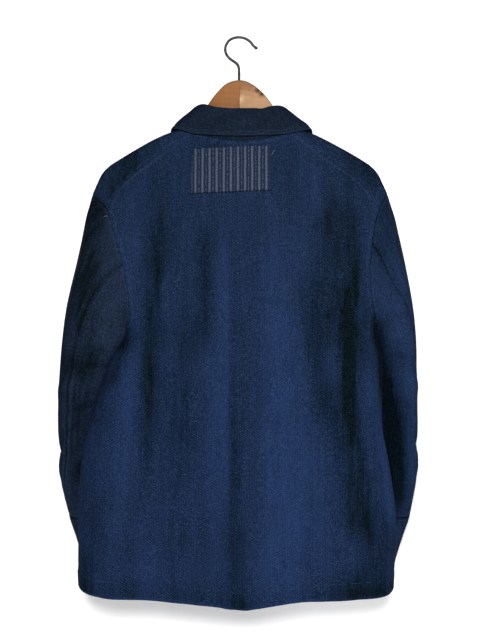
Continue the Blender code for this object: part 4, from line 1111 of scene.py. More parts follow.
# The fold and then the fall's lower edge, each as x, y and z, from the middle of the back round
# to the front.  x is without its sign.
COLLAR = ((0, 19, -117, 0, 32, -157.5), (16, 18.5, -117, 17, 31.5, -157.3),
          (33, 16.5, -115.5, 35, 29.5, -156.5), (48, 13.5, -113, 53, 27, -155.2),
          (60, 9.5, -111.5, 71, 23, -153.5), (68, 4.5, -112.5, 88, 18, -151.3),
          (72, -0.5, -115.5, 102, 10, -149), (74, -5, -118.5, 110.5, 0, -147.6),
          (74.5, -9, -122, 113, -10, -152.5), (73, -12.5, -127, 113, -18, -163),
          (68, -15.5, -132, 110, -21, -178), (60.5, -18.5, -144, 104, -23.5, -194),
          (50.5, -21.5, -158, 95, -27, -210), (39.5, -24.5, -172, 83, -31, -226),
          (27.5, -27.5, -185, 69, -36, -241), (15.5, -30.5, -197, 53, -40, -255),
          (4.5, -33.5, -206, 36, -43.5, -271))
# How the fold rolls over the stand, as out and up from it, and how far the fall bows out.
FOLD_OVER = ((-1.9, 2.7), (1.8, 3.0), (4.9, 0.4))
FALL_BOW = 2.5
# A hill and a hollow in the fold: world x, width and height.
FOLD_HILLS = ((57, 12, 2.2), (-34, 9, -2.0))
# How far the fall's edge is lifted over the shoulders and moved towards the wearer's right.
CORNER_LIFT = {"left": 5.0, "right": 3.6}
CORNER_SHIFT = 3.0
CORNER_FROM = 68.0          # world x from which that happens, and over what run it grows
CORNER_RUN = 34.0
INTO_FOLD = 1.2             # how far the stand reaches up into the fold
COLLAR_STEPS = 10
STAND_ROWS = 14
COLLAR_WALL = 2.6
COLLAR_STITCH_IN = 6.0
COLLAR_DEEP = (0.0016, 0.0036, 0.0085)
COLLAR_LIGHT = (0.0106, 0.0208, 0.0425)


def collar_stations():
    """Neck seam, fold and fall edge from the left front round the back to the right front."""
    halves = []
    for side, sign in SIGN.items():
        first = np.array(NECK_BACK[5::-1] if side == "left" else NECK_BACK[5:], float)
        seam = back_point(along(first[:, 0], first[:, 1]), first[:, 1])
        neck = np.array(NECK_FRONT, float)
        x, z = sign * neck[:, 0], ridge_z(neck[:, 0]) - np.abs(neck[:, 1])
        p = along(x, z)
        before = front_point(p, front_q(x, z, "front"), side)
        seam = np.vstack((seam, np.where(neck[:, 1:] > 0, back_point(p, z), before)))
        turned = np.array(COLLAR, float) * np.array((sign, 1, 1, sign, 1, 1))
        halves.append(np.column_stack((seam, turned)))
    stations = blend(np.vstack((halves[0][::-1], halves[1][1:])), COLLAR_STEPS)
    return stations[:, :3], stations[:, 3:6], stations[:, 6:]


seam, fold, edge = collar_stations()
fold[:, 2] += sum(height * bump(fold[:, 0] - x, width) for x, width, height in FOLD_HILLS)
uneven = ease((np.abs(edge[:, 0]) - CORNER_FROM) / CORNER_RUN) * ease((edge[:, 1] + 34) / 30)
edge[:, 2] += np.where(edge[:, 0] > 0, CORNER_LIFT["left"], CORNER_LIFT["right"]) * uneven
edge[:, 0] -= CORNER_SHIFT * uneven
rise = unit(fold - seam)
stand_out = unit(np.cross(np.gradient(seam + fold, axis=0), rise))
collar_indigo = cloth_material("collar indigo", COLLAR_DEEP, COLLAR_LIGHT, 0.7, 0.66, ribs=0.4)

top = fold + rise * INTO_FOLD
stand = np.array([seam + (top - seam) * t for t in np.linspace(0, 1, STAND_ROWS)])
up = runs(stand, 0)
height = -0.9 * bump(up, 1.4) - 0.35 * bump(up - 4, 1.0)
outer = (stand + stand_out[None] * height[:, :, None]).reshape(-1, 3)
out = np.tile(stand_out, (STAND_ROWS, 1))
flat = np.column_stack((runs(stand, 1).ravel(), up.ravel()))
collar_stand = make_cloth("collar_stand_cloth", outer, out, grid_quads(*stand.shape[:2]), flat,
                          (0.2 * bump(up - 2, 1.5) - 0.4 * bump(up, 1.2)).ravel())
collar_stand.data.materials.append(collar_indigo)
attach(collar_stand, "root")
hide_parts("collar_stand")

profile = [fold + stand_out * reach + rise * lift for reach, lift in FOLD_OVER]
for t in (0.33, 0.67, 1.0):
    profile.append(profile[2] + (edge - profile[2]) * t + stand_out * FALL_BOW * math.sin(math.pi * t))
fall = blend(np.array(profile), 7)
lower_edge = np.zeros_like(fall)
lower_edge[-1] = stand_out
fall_out = grid_out(fall, lower_edge)
down, around = runs(fall, 0), runs(fall, 1)
to_edge = np.minimum(down[-1:] - down, np.minimum(around, around[:, -1:] - around))
height = (0.35 * bump(to_edge - 2.5, 2.0) - 0.55 * bump(to_edge - COLLAR_STITCH_IN, 1.2)
          + 0.25 * np.sin(around / 2.2 + 2 * np.sin(around / 17)) * bump(to_edge - COLLAR_STITCH_IN, 6)
          + 0.7 * np.sin(around / 19 + 1.3 * np.sin(around / 31)) * ease(down / 20))
wear_and_painted_shading = 0.4 * bump(to_edge, 3.0) + 0.15 * bump(down - 6, 5.0)
outer = (fall + fall_out * height[:, :, None]).reshape(-1, 3)
flat = np.column_stack((around.ravel(), -down.ravel()))
collar_fall = make_cloth("collar_fall_cloth", outer, fall_out.reshape(-1, 3),
                         grid_quads(*fall.shape[:2]), flat, wear_and_painted_shading.ravel(), COLLAR_WALL)
collar_fall.data.materials.append(collar_indigo)
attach(collar_fall, "root")
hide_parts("collar_fall")


# ---------------------------------------------------------------- the patch
# A rectangle of striped cotton laid on the back under the collar and sewn down all round by
# hand: grey warp stripes on indigo ground with thinner broken lines between them.

# World x and height of its corners, from the upper one on the wearer's left round to the lower.
PATCH_CORNERS = ((73, -179), (-48.5, -174), (-48.5, -245), (78.5, -250))
PATCH_WIDE = 124.0
PATCH_TALL = 73.0
PATCH_COLUMNS = 62
PATCH_ROWS = 36
PATCH_LIFT = 1.5            # of its face above the back
PATCH_WALL = 1.2
PATCH_RELIEF = (0.3, 0.5)   # height of its weave and how much of it shows
STRIPE_PITCH = 11.09
STRIPE_WIDTH = 3.3
STRIPE_START = 108.5        # world x from which they are counted towards the wearer's right
STRIPES_BETWEEN = (-0.0462, -0.0438)    # world x in metres over which the last stripe fades out
STRIPE_COLOUR = (0.064, 0.078, 0.120)
GROUND_DARK = (0.002, 0.006, 0.016)
GROUND_PALE = (0.017, 0.027, 0.053)
# Painted shade along the patch's lower edge: the colour its cloth is multiplied by there.
LOW_EDGE_SHADE = (0.20, 0.24, 0.26)

corners = np.array(PATCH_CORNERS, float)
across_share, up_share = np.meshgrid(np.linspace(0, 1, PATCH_COLUMNS), np.linspace(0, 1, PATCH_ROWS))
a, b = across_share.ravel()[:, None], up_share.ravel()[:, None]
spots = ((corners[3] + (corners[2] - corners[3]) * a) * (1 - b)
         + (corners[0] + (corners[1] - corners[0]) * a) * b)
rim = np.minimum(np.minimum(a, 1 - a) * PATCH_WIDE, np.minimum(b, 1 - b) * PATCH_TALL).ravel()
ragged = bump(rim, 2.0)[:, None] * np.column_stack((0.5 * np.sin(spots[:, 1] / 1.7),
                                                    0.45 * np.sin(spots[:, 0] / 2.1)))
spots = spots + ragged
m, z = -along(spots[:, 0], spots[:, 1]), spots[:, 1]
out = outward(back_place, m, z)
lift = (PATCH_LIFT + 0.35 * np.sin(spots[:, 0] / 13 + 1) * np.sin(spots[:, 1] / 11)
        - 0.45 * bump(rim - 3, 1.3) + 0.3 * bump(rim - 6, 2.5))
flat = np.column_stack((a.ravel() * PATCH_WIDE, b.ravel() * PATCH_TALL))
patch = make_cloth("patch_cloth", back_place(m, z) + out * lift[:, None], out,
                   grid_quads(PATCH_ROWS, PATCH_COLUMNS), flat, 0.4 * bump(rim, 1.5), PATCH_WALL)

patch_look, tree, shader = new_material("striped patch", {"Roughness": 0.9, "Specular IOR Level": 0.04})
flat = scaled(tree, cloth_place(tree), 1 / MM)
world_x = parts_of(tree, object_place(tree))[0]
crosswise = math_node(tree, "MULTIPLY_ADD", world_x, -1 / MM, STRIPE_START)
sway = math_node(tree, "MULTIPLY_ADD", noise(tree, flat, 1.0, 2.0, (0.05, 0.05, 1.0)), 1.4, -0.7)
turn = math_node(tree, "MODULO", math_node(tree, "ADD", crosswise, sway), STRIPE_PITCH)
from_stripe = math_node(tree, "ABSOLUTE", math_node(tree, "SUBTRACT", turn, STRIPE_PITCH / 2))
frayed = math_node(tree, "MULTIPLY_ADD", noise(tree, flat, 1.0, 3.0, (0.5, 0.42, 1.0)), 2.0, -1.0)
gap = math_node(tree, "ADD", from_stripe, frayed)
stripe = stretch_range(tree, gap, STRIPE_WIDTH / 2 - 0.6, STRIPE_WIDTH / 2 + 0.6, 1.0, 0.0)
line_gap = math_node(tree, "SUBTRACT", STRIPE_PITCH / 2, from_stripe)
line = stretch_range(tree, math_node(tree, "ADD", line_gap, frayed), 0.5, 1.2, 1.0, 0.0)
broken = stretch_range(tree, noise(tree, flat, 1.0, 2.0, (0.4, 0.30, 1.0)), 0.42, 0.56)
line = math_node(tree, "MULTIPLY", math_node(tree, "MULTIPLY", line, broken), 0.75)
yarn = noise(tree, flat, 1.0, 2.0, (0.5, 0.40, 1.0))
faded = stretch_range(tree, yarn, 0.3, 0.7, 0.4, 1.3)
share = math_node(tree, "MULTIPLY", math_node(tree, "MAXIMUM", stripe, line), faded)
share = math_node(tree, "MULTIPLY", share, stretch_range(tree, world_x, *STRIPES_BETWEEN))
toned = mix_colour(tree, share, mix_colour(tree, yarn, GROUND_DARK, GROUND_PALE), STRIPE_COLOUR)
# Painted shade along the lower edge of the raised patch.
low_edge_shade = stretch_range(tree, parts_of(tree, flat)[1], 0.5, 2.0, 0.9, 0.0)
wire_up(tree, tint(tree, low_edge_shade, toned, LOW_EDGE_SHADE), shader.inputs["Base Color"])
weave_height = math_node(tree, "MULTIPLY_ADD", share, 0.4, yarn)
wire_up(tree, raised_normal(tree, weave_height, *PATCH_RELIEF), shader.inputs["Normal"])
patch.data.materials.append(patch_look)
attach(patch, "root")
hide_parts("patch")


# ---------------------------------------------------------------- the stitches
# Topstitching beside the seams, round the hem, cuffs and collar and down the front edge, in
# thread close to the cloth, and the hand stitches that hold the patch, a thread tail and a
# tack at the left armhole.  Each stitch is a small bead laid along its line.

# Each kind of stitch: the pitch, length and thickness of one.
SEWN = {"topstitch": (4.0, 3.1, 0.55), "by hand": (6.5, 3.6, 0.7), "tail": (1.0, 1.8, 0.7),
        "tack": (1.2, 1.8, 0.8), "buttonhole": (0.9, 1.9, 0.8), "button": (0.7, 1.6, 0.6)}
STITCH_LIFT = 0.3           # middle of a topstitch above the cloth
UNEVEN = 0.12               # share by which stitches differ in size
STITCH_SEED = 7
FRONT_STITCH_TOP = -238.0   # where the stitching of the front edge ends
PATCH_INSET = (0.955, 0.93)     # the patch's stitches as a share of its width and height
TAIL = ((-47.5, -189.5), (-50, -188), (-51.2, -185.5), (-52, -183.5), (-54.5, -181.5))
TACK = (210.0, -284.0)      # world x and height of the tack, and the run of its thread
TACK_RUN = ((-2.2, 0, 0.5), (0, 0, 0), (2.2, 0, -0.5))
TACK_LIFT = 0.9             # of it and of the tail above the cloth
INDIGO_THREAD = (0.030, 0.050, 0.105)
PALE_THREAD = (0.15, 0.19, 0.24)


def stitch_tree():
    """Geometry nodes that lay one stitch after another along the lines they are given."""
    tree = bpy.data.node_groups.new("stitches", "GeometryNodeTree")
    pitch, long, thick = (length * MM for length in SEWN["topstitch"])
    new_sockets(tree, "INPUT", (("Lines", "Geometry"), ("Pitch", "Float", pitch), ("Stitch", "Float", long),
                                ("Thread", "Float", thick), ("Uneven", "Float", UNEVEN),
                                ("Material", "Material")))
    new_sockets(tree, "OUTPUT", (("Stitches", "Geometry"),))
    given = tree.nodes.new("NodeGroupInput").outputs
    result = tree.nodes.new("NodeGroupOutput").inputs
    even = tree.nodes.new("GeometryNodeResampleCurve")
    even.mode = "LENGTH"
    wire_up(tree, given["Lines"], even.inputs["Curve"])
    wire_up(tree, given["Pitch"], even.inputs["Length"])
    bead = tree.nodes.new("GeometryNodeMeshUVSphere")
    bead.inputs["Segments"].default_value = 6
    bead.inputs["Rings"].default_value = 4
    bead.inputs["Radius"].default_value = 0.5
    tangent = tree.nodes.new("GeometryNodeInputTangent")
    align = tree.nodes.new("FunctionNodeAlignRotationToVector")
    align.axis = "Z"
    wire_up(tree, tangent.outputs[0], align.inputs["Vector"])
    size = tree.nodes.new("ShaderNodeCombineXYZ")
    for socket, name in zip(size.inputs, ("Thread", "Thread", "Stitch")):
        wire_up(tree, given[name], socket)
    uneven = tree.nodes.new("FunctionNodeRandomValue")
    uneven.inputs["Seed"].default_value = STITCH_SEED
    wire_up(tree, math_node(tree, "SUBTRACT", 1.0, given["Uneven"]), uneven.inputs[2])
    wire_up(tree, math_node(tree, "ADD", 1.0, given["Uneven"]), uneven.inputs[3])
    lay = tree.nodes.new("GeometryNodeInstanceOnPoints")
    wire_up(tree, even.outputs[0], lay.inputs["Points"])
    wire_up(tree, bead.outputs["Mesh"], lay.inputs["Instance"])
    wire_up(tree, align.outputs[0], lay.inputs["Rotation"])
    wire_up(tree, scaled(tree, size.outputs[0], uneven.outputs[1]), lay.inputs["Scale"])
    realize = tree.nodes.new("GeometryNodeRealizeInstances")
    wire_up(tree, lay.outputs[0], realize.inputs[0])
    smooth_shade = tree.nodes.new("GeometryNodeSetShadeSmooth")
    wire_up(tree, realize.outputs[0], smooth_shade.inputs[0])
    dress = tree.nodes.new("GeometryNodeSetMaterial")
    wire_up(tree, smooth_shade.outputs[0], dress.inputs["Geometry"])
    wire_up(tree, given["Material"], dress.inputs["Material"])
    wire_up(tree, dress.outputs[0], result[0])
    return tree


STITCHES = stitch_tree()


def thread_material(name, colour):
    """Cotton thread."""
    material, tree, shader = new_material(name, {"Roughness": 0.75, "Specular IOR Level": 0.3})
    tone = noise(tree, object_place(tree), 900.0, 1.0)
    dark = tuple(value * 0.6 for value in colour)
    wire_up(tree, mix_colour(tree, tone, dark, colour), shader.inputs["Base Color"])
    return material


def sew(name, lines, material, kind="topstitch"):
    """One piece of stitches along lines of points in millimetres."""
    curve = bpy.data.curves.new(name, "CURVE")
    curve.dimensions = "3D"
    for line in lines:
        path = curve.splines.new("POLY")
        path.points.add(len(line) - 1)
        path.points.foreach_set("co", np.column_stack((line * MM, np.ones(len(line)))).ravel())
    guide = add_object(name + "_lines", curve)
    layer = guide.modifiers.new("stitches", "NODES")
    layer.node_group = STITCHES
    pitch, long, thick = (length * MM for length in SEWN[kind])
    values = {"Pitch": pitch, "Stitch": long, "Thread": thick, "Material": material}
    for item in STITCHES.interface.items_tree:
        if item.in_out == "INPUT" and item.name in values:
            layer[item.identifier] = values[item.name]
    bpy.context.view_layer.update()
    seen = guide.evaluated_get(bpy.context.evaluated_depsgraph_get())
    mesh = bpy.data.meshes.new_from_object(seen)
    guide.modifiers.remove(layer)
    bpy.data.objects.remove(guide, do_unlink=True)
    piece = add_object(name, mesh)
    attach(piece, "root")
    return piece


def left_of(line):
    """Unit steps to the left along a flat line."""
    step = unit(np.gradient(line, axis=0))
    return np.column_stack((-step[:, 1], step[:, 0]))


def beside(line, distance):
    """A flat line moved to its left by a distance."""
    return line + left_of(line) * distance


def on_cloth(place, line, lift=STITCH_LIFT):
    """A flat line laid on a panel."""
    p, v = line[:, 0], line[:, 1]
    return place(p, v) + outward(place, p, v) * lift


indigo_thread = thread_material("indigo thread", INDIGO_THREAD)
pale_thread = thread_material("pale thread", PALE_THREAD)
lines = [on_cloth(back_place, hem + np.array((0, HEM_STITCH_IN)))]
for side, edge_line in (("right", right_side), ("left", left_side)):
    above_side_seam = edge_line[len(side_line(side)) + 2:]
    lines.append(on_cloth(back_place, beside(above_side_seam, -SIGN[side] * STITCH_IN)))
lines.append(on_cloth(back_place, beside(spline(NECK_BACK, WEAVE_STEP) * np.array((-1, 1)), -4.0)))
sew("back_stitches", lines, indigo_thread)

for side, sign in SIGN.items():
    place = front_place(side)
    shoulder = flat_line(shoulder_line(side), "back")
    arm_front = flat_line(armhole_line(side, "front"), "front")
    lap = -sign * LAP_HALF
    q = np.arange(float(hem_z(lap)) + 2.0, FRONT_STITCH_TOP, WEAVE_STEP) - FRONT_SHIFT
    hem_front = hem_line(lap, flat_line(side_line(side)[:1], "front")[0, 0])
    lines = [on_cloth(place, beside(shoulder, sign * 4.0)),
             on_cloth(place, beside(arm_front, -sign * STITCH_IN))]
    for inward in (EDGE_STITCH_IN, EDGE_TURN - 1):
        lines.append(on_cloth(place, np.column_stack((np.full(len(q), lap + sign * inward), q))))
    lines.append(on_cloth(place, hem_front + np.array((0, HEM_STITCH_IN - FRONT_SHIFT))))
    sew(f"front_{side}_stitches", lines, indigo_thread)

    sleeve_rings, cuff_rings = sleeve_grid(side, np.linspace(0, 2 * math.pi, 160))
    out = grid_out(cuff_rings, from_middle(cuff_rings))
    down = runs(cuff_rings, 0).mean(axis=1)
    lines = []
    for distance in (STITCH_IN, down[-1] - CUFF_STITCH_UP):
        k = int(np.argmin(np.abs(down - distance)))
        lines.append(cuff_rings[k] + out[k] * (CUFF_SWELL + 0.1))
    sew(f"cuff_{side}_stitches", lines, indigo_thread)
    if side == "left":
        apart = np.hypot(sleeve_rings[..., 0] - TACK[0], sleeve_rings[..., 2] - TACK[1])
        apart[sleeve_rings[..., 1] < 0] += FAR
        k, j = np.unravel_index(np.argmin(apart), apart.shape)
        tack_out = grid_out(sleeve_rings)[k, j]
        tack = sleeve_rings[k, j] + tack_out * np.sign(tack_out[1]) * TACK_LIFT + np.array(TACK_RUN)
        sew("armhole_tack", [tack], pale_thread, "tack")

fall_down = runs(fall, 0)
columns = np.arange(4, fall.shape[1] - 4)
rows = np.argmin(np.abs(fall_down[-1] - fall_down - COLLAR_STITCH_IN), axis=0)[columns]
sew("collar_stitches", [fall[rows, columns] + fall_out[rows, columns] * 0.1], indigo_thread)


def on_back(line, lift):
    """A line of world x and height laid on the back."""
    return on_cloth(back_place, np.column_stack((-along(line[:, 0], line[:, 1]), line[:, 1])), lift)


middle = corners.mean(0)
lines = []
for start, end in ((3, 2), (2, 1), (1, 0), (0, 3)):
    run = middle + (resample(corners[[start, end]], 2.0) - middle) * np.array(PATCH_INSET)
    lines.append(on_back(run, PATCH_LIFT + 0.1))
sew("patch_stitches", lines, indigo_thread, "by hand")
sew("patch_tail", [on_back(spline(np.array(TAIL), 0.8), TACK_LIFT)], pale_thread, "tail")


# ---------------------------------------------------------------- the buttons
# Five dark four-hole buttons down the left front, each sewn through with crossed thread and
# standing in the end of its corded buttonhole.
BUTTON_HEIGHTS = (-292, -405, -520, -635, -750)
# Half the button's outline, as radius and height from the middle of its face to that of its back.
BUTTON_PROFILE = ((0.0, 2.1), (4.4, 2.1), (5.3, 2.5), (6.2, 3.1), (7.2, 3.2), (8.1, 2.8), (8.5, 2.0),
                  (8.3, 1.0), (7.4, 0.3), (5.0, 0.0), (0.0, 0.0))
BUTTON_LIFT = 1.0           # of its back above the front
BUTTON_DARK = (0.010, 0.010, 0.012)
BUTTON_PALE = (0.045, 0.038, 0.034)
HOLE_OUT = 1.9              # of each hole from the middle
HOLE_RADIUS = 0.85
HOLE_SIDES = 14
HOLE_TURNS = (45, 135, 225, 315)
THREAD_LIFT = 2.5           # of the crossed thread above the button's back
BUTTONHOLE_LONG = 23.0
BUTTONHOLE_PAST = 7.0       # how far it runs past the button's middle
BUTTONHOLE_LIFT = 1.2


def hole_spot(degrees, height):
    """Middle of a hole of the button, lying flat, in millimetres."""
    turn = math.radians(degrees)
    return Vector((HOLE_OUT * math.cos(turn), HOLE_OUT * math.sin(turn), height))


shell = bmesh.new()
ring = [shell.verts.new((radius * MM, 0.0, height * MM)) for radius, height in BUTTON_PROFILE]
edges = [shell.edges.new(pair) for pair in zip(ring, ring[1:])]
bmesh.ops.spin(shell, geom=ring + edges, cent=(0, 0, 0), axis=(0, 0, 1), angle=2 * math.pi, steps=40)
bmesh.ops.remove_doubles(shell, verts=shell.verts, dist=1e-6)
bmesh.ops.recalc_face_normals(shell, faces=shell.faces)
blank_mesh = bpy.data.meshes.new("button_blank")
shell.to_mesh(blank_mesh)
shell.free()
drill = bmesh.new()
for degrees in HOLE_TURNS:
    made = bmesh.ops.create_cone(drill, cap_ends=True, segments=HOLE_SIDES, radius1=HOLE_RADIUS * MM,
                                 radius2=HOLE_RADIUS * MM, depth=8 * MM)
    bmesh.ops.translate(drill, verts=made["verts"], vec=hole_spot(degrees, 1.5) * MM)
drill_mesh = bpy.data.meshes.new("drill")
drill.to_mesh(drill_mesh)
drill.free()
blank = add_object("button_blank", blank_mesh)
driller = add_object("drill", drill_mesh)
cut = blank.modifiers.new("holes", "BOOLEAN")
cut.object = driller
bpy.context.view_layer.update()
drilled = bpy.data.meshes.new_from_object(blank.evaluated_get(bpy.context.evaluated_depsgraph_get()))
for helper in (blank, driller):
    bpy.data.objects.remove(helper, do_unlink=True)

button_look, tree, shader = new_material("dark button", {})
place = object_place(tree)
swirl = stretch_range(tree, noise(tree, place, 260.0, 4.0, (1.0, 1.0, 0.4)), 0.4, 0.62)
scuff = noise(tree, place, 1400.0, 3.0)
wire_up(tree, mix_colour(tree, swirl, BUTTON_DARK, BUTTON_PALE), shader.inputs["Base Color"])
wire_up(tree, stretch_range(tree, scuff, 0.35, 0.7, 0.28, 0.55), shader.inputs["Roughness"])

place = front_place("left")
holes = []
threads = []
for number, z in enumerate(BUTTON_HEIGHTS, 1):
    middle = np.zeros(1)
    q = front_q(middle, np.array([float(z)]), "front")
    seat, out = Vector(place(middle, q)[0]), Vector(outward(place, middle, q)[0])
    turn = Vector((0, 0, 1)).rotation_difference(out)
    centre = seat + out * BUTTON_LIFT
    mesh = drilled.copy()
    mesh.transform(turn.to_matrix().to_4x4())
    mesh.transform(Matrix.Translation(centre * MM))
    mesh.shade_smooth()
    mesh.set_sharp_from_angle(angle=math.radians(40))
    button = add_object(f"button_{number}_turned", mesh)
    button.data.materials.append(button_look)
    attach(button, "root")
    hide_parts(f"button_{number}")
    for pair in (HOLE_TURNS[::2], HOLE_TURNS[1::2]):
        first, last = (centre + turn @ hole_spot(degrees, THREAD_LIFT) for degrees in pair)
        threads.append(np.array([first, first.lerp(last, 0.5), last]))
    long = np.linspace(-BUTTONHOLE_PAST, BUTTONHOLE_LONG - BUTTONHOLE_PAST, 14)
    for rise in (-1.0, 1.0):
        flat = np.column_stack((long, np.full(len(long), q[0] + rise)))
        holes.append(on_cloth(place, flat, BUTTONHOLE_LIFT))
sew("buttonholes", holes, indigo_thread, "buttonhole")
sew("button_threads", threads, indigo_thread, "button")


# ---------------------------------------------------------------- the hanger
# Two varnished arms cut from a board and joined in the middle under the hook, with rounded
# edges and the grain along each arm; the left one is painted darker as shade, the right one paler as lit.

# Sections of an arm from the joint out: x, height of its top, its depth and half its thickness.
ARM = ((0.15, -67, 53, 8.0), (6, -67.6, 52.6, 8.0), (12, -69.5, 51.5, 8.0), (19, -73.4, 49, 8.0),
       (27, -79, 46, 8.0), (40, -91, 41, 7.6), (52, -107, 38, 7.2), (66, -128, 34, 7.0),
       (78, -143, 30.5, 7.0), (90, -147.6, 30, 7.0), (110, -153.3, 30, 7.0), (127, -160.2, 30, 7.0),
       (162, -178.3, 28, 6.8), (194, -197.8, 24, 6.5), (203, -205, 18, 5.5), (208.5, -213, 6, 2.5))
ARM_ROUND = 4.6
ARM_CORNERS = 7             # points round each of its rounded corners
FULLER_AT = 24.0            # where the arm is fuller than its sections say, and over what run
FULLER_RUN = 13.0
GRAIN_LINES = 700.0         # turns of the growth rings for each metre up, in radians
PALER_BETWEEN = (-0.074, -0.104)        # heights in metres over which an arm turns paler
WOOD_FINISH = {"Specular IOR Level": 0.04, "Coat Weight": 0.01, "Coat Roughness": 0.3}
WOOD_RELIEF = (0.1, 0.08)   # height of its pores in millimetres and how much of it shows
# Each arm: how much fuller it is, its dark and pale tones, how much paler it is below; the left
# arm's tones are painted darker as shade, the right arm's paler as lit.
ARM_LOOK = {"left": (2.6, (0.205, 0.082, 0.028), (0.290, 0.130, 0.052), -0.25),
            "right": (0.4, (0.235, 0.116, 0.054), (0.410, 0.240, 0.130), 0.8)}
# Knots, and a painted highlight by the joint of the right arm: where in metres, from how near
# to how far it fades out, and its colour.
KNOTS_AND_HIGHLIGHT = (((-0.0275, 0.008, -0.0840), 0.004, 0.009, (0.060, 0.022, 0.010)),
         ((-0.0345, 0.008, -0.0885), 0.005, 0.010, (0.050, 0.018, 0.008)),
         ((-0.0010, 0.008, -0.0980), 0.004, 0.011, (0.560, 0.360, 0.210)))


def arm_ring(x, top, height, half):
    """Rounded section of an arm."""
    radius = min(ARM_ROUND, half * 0.62, height * 0.32)
    ring = []
    for k, (y, z) in enumerate(((1, 0), (-1, 0), (-1, -1), (1, -1))):
        cy = y * (half - radius)
        cz = top - radius if z == 0 else top - height + radius
        for step in range(ARM_CORNERS):
            turn = math.radians((0, 90, 180, 270)[k] + 90 * step / (ARM_CORNERS - 1))
            ring.append((x, cy + radius * math.cos(turn), cz + radius * math.sin(turn)))
    return ring


def wood_group():
    """Varnished board: growth rings along the arm, pores and blotches."""
    tree = bpy.data.node_groups.new("wood grain", "ShaderNodeTree")
    new_sockets(tree, "INPUT", (("Place", "Vector"), ("Dark", "Color"), ("Pale", "Color"),
                                ("Paler Below", "Float")))
    new_sockets(tree, "OUTPUT", (("Colour", "Color"), ("Height", "Float"), ("Roughness", "Float")))
    given = tree.nodes.new("NodeGroupInput").outputs
    result = tree.nodes.new("NodeGroupOutput").inputs
    height = parts_of(tree, given["Place"])[2]
    bent = math_node(tree, "MULTIPLY_ADD", noise(tree, given["Place"], 14.0), 0.03, height)
    ring = math_node(tree, "SINE", math_node(tree, "MULTIPLY", bent, GRAIN_LINES))
    pore = noise(tree, given["Place"], 380.0, 3.0, (0.5, 1.0, 1.0))
    blotch = noise(tree, given["Place"], 45.0, 3.0)
    share = math_node(tree, "MULTIPLY_ADD", ring, 0.05, math_node(tree, "MULTIPLY_ADD", pore, 0.35, 0.25))
    share = math_node(tree, "ADD", share, math_node(tree, "MULTIPLY_ADD", blotch, 0.9, -0.45))
    below = stretch_range(tree, height, *PALER_BETWEEN, -0.5, 0.5)
    share = math_node(tree, "MULTIPLY_ADD", below, given["Paler Below"], share)
    share = stretch_range(tree, share, 0.1, 0.8)
    wire_up(tree, mix_colour(tree, share, given["Dark"], given["Pale"]), result["Colour"])
    wire_up(tree, pore, result["Height"])
    wire_up(tree, stretch_range(tree, pore, 0.3, 0.7, 0.75, 0.6), result["Roughness"])
    return tree


def closed_mesh(name, points, faces):
    """A smooth mesh of a closed shell, with its faces turned outwards."""
    mesh = bpy.data.meshes.new(name)
    mesh.from_pydata(points, [], faces)
    shell = bmesh.new()
    shell.from_mesh(mesh)
    bmesh.ops.recalc_face_normals(shell, faces=shell.faces)
    shell.to_mesh(mesh)
    shell.free()
    mesh.shade_smooth()
    return mesh


def tube_faces(rings, count):
    """Faces of a closed tube: its sides and both its ends."""
    ends = [tuple(range(count)), tuple((rings - 1) * count + k for k in range(count))]
    return grid_quads(rings, count, True) + ends


WOOD = wood_group()
for side, (fuller, dark, pale, paler) in ARM_LOOK.items():
    rings = []
    for x, top, height, half in blend(ARM, 4):
        more = fuller * bump(x - FULLER_AT, FULLER_RUN)
        rings.append(arm_ring(x, top + more, height + more, half))
    points = [(SIGN[side] * x * MM, y * MM, z * MM) for ring in rings for x, y, z in ring]
    mesh = closed_mesh(f"arm_{side}", points, tube_faces(len(rings), len(rings[0])))
    mesh.set_sharp_from_angle(angle=math.radians(50))
    arm = add_object(f"arm_{side}", mesh)
    look, tree, shader = new_material(f"varnished wood {side}", WOOD_FINISH)
    grain = tree.nodes.new("ShaderNodeGroup")
    grain.node_tree = WOOD
    place = object_place(tree)
    for socket, value in (("Place", place), ("Dark", dark), ("Pale", pale), ("Paler Below", paler)):
        wire_up(tree, value, grain.inputs[socket])
    tone = grain.outputs["Colour"]
    # The right arm's knots and its painted highlight by the joint.
    for spot, near, far, colour in KNOTS_AND_HIGHLIGHT if side == "right" else ():
        apart = tree.nodes.new("ShaderNodeVectorMath")
        apart.operation = "DISTANCE"
        apart.inputs[1].default_value = spot
        wire_up(tree, place, apart.inputs[0])
        ragged = math_node(tree, "MULTIPLY_ADD", noise(tree, place, 260.0), 0.006, apart.outputs["Value"])
        tone = mix_colour(tree, stretch_range(tree, ragged, near, far, 0.9, 0.0), tone, colour)
    wire_up(tree, tone, shader.inputs["Base Color"])
    wire_up(tree, grain.outputs["Roughness"], shader.inputs["Roughness"])
    wire_up(tree, raised_normal(tree, grain.outputs["Height"], *WOOD_RELIEF), shader.inputs["Normal"])
    arm.data.materials.append(look)
    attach(arm, "root")
    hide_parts("hanger_arm_" + side)


# ---------------------------------------------------------------- the hook
# One bent wire: its shank goes down between the arms, the crown turns over whatever carries
# the hanger and the tip ends in a small ball.  The metal is dark and tarnished.

# Middle of the wire from the foot of its shank to its tip: x and height.
HOOK = ((1.2, -94), (1.4, -80), (1.5, -66), (1.5, -54), (2.0, -46.5), (4.8, -40.6), (10.5, -36.2),
        (17.5, -31), (22.2, -24), (23.4, -16), (21, -8.3), (16, -2.4), (9, 0.8), (2, 1.7), (-6, 0.6),
        (-13, -2.9), (-18, -7.4), (-22, -12.4), (-28, -17))
WIRE = 2.2                  # radius of the wire and of the ball at its tip
TIP = 2.8
WIRE_SIDES = 14
WIRE_DARK = (0.012, 0.011, 0.011)
WIRE_PALE = (0.060, 0.055, 0.050)

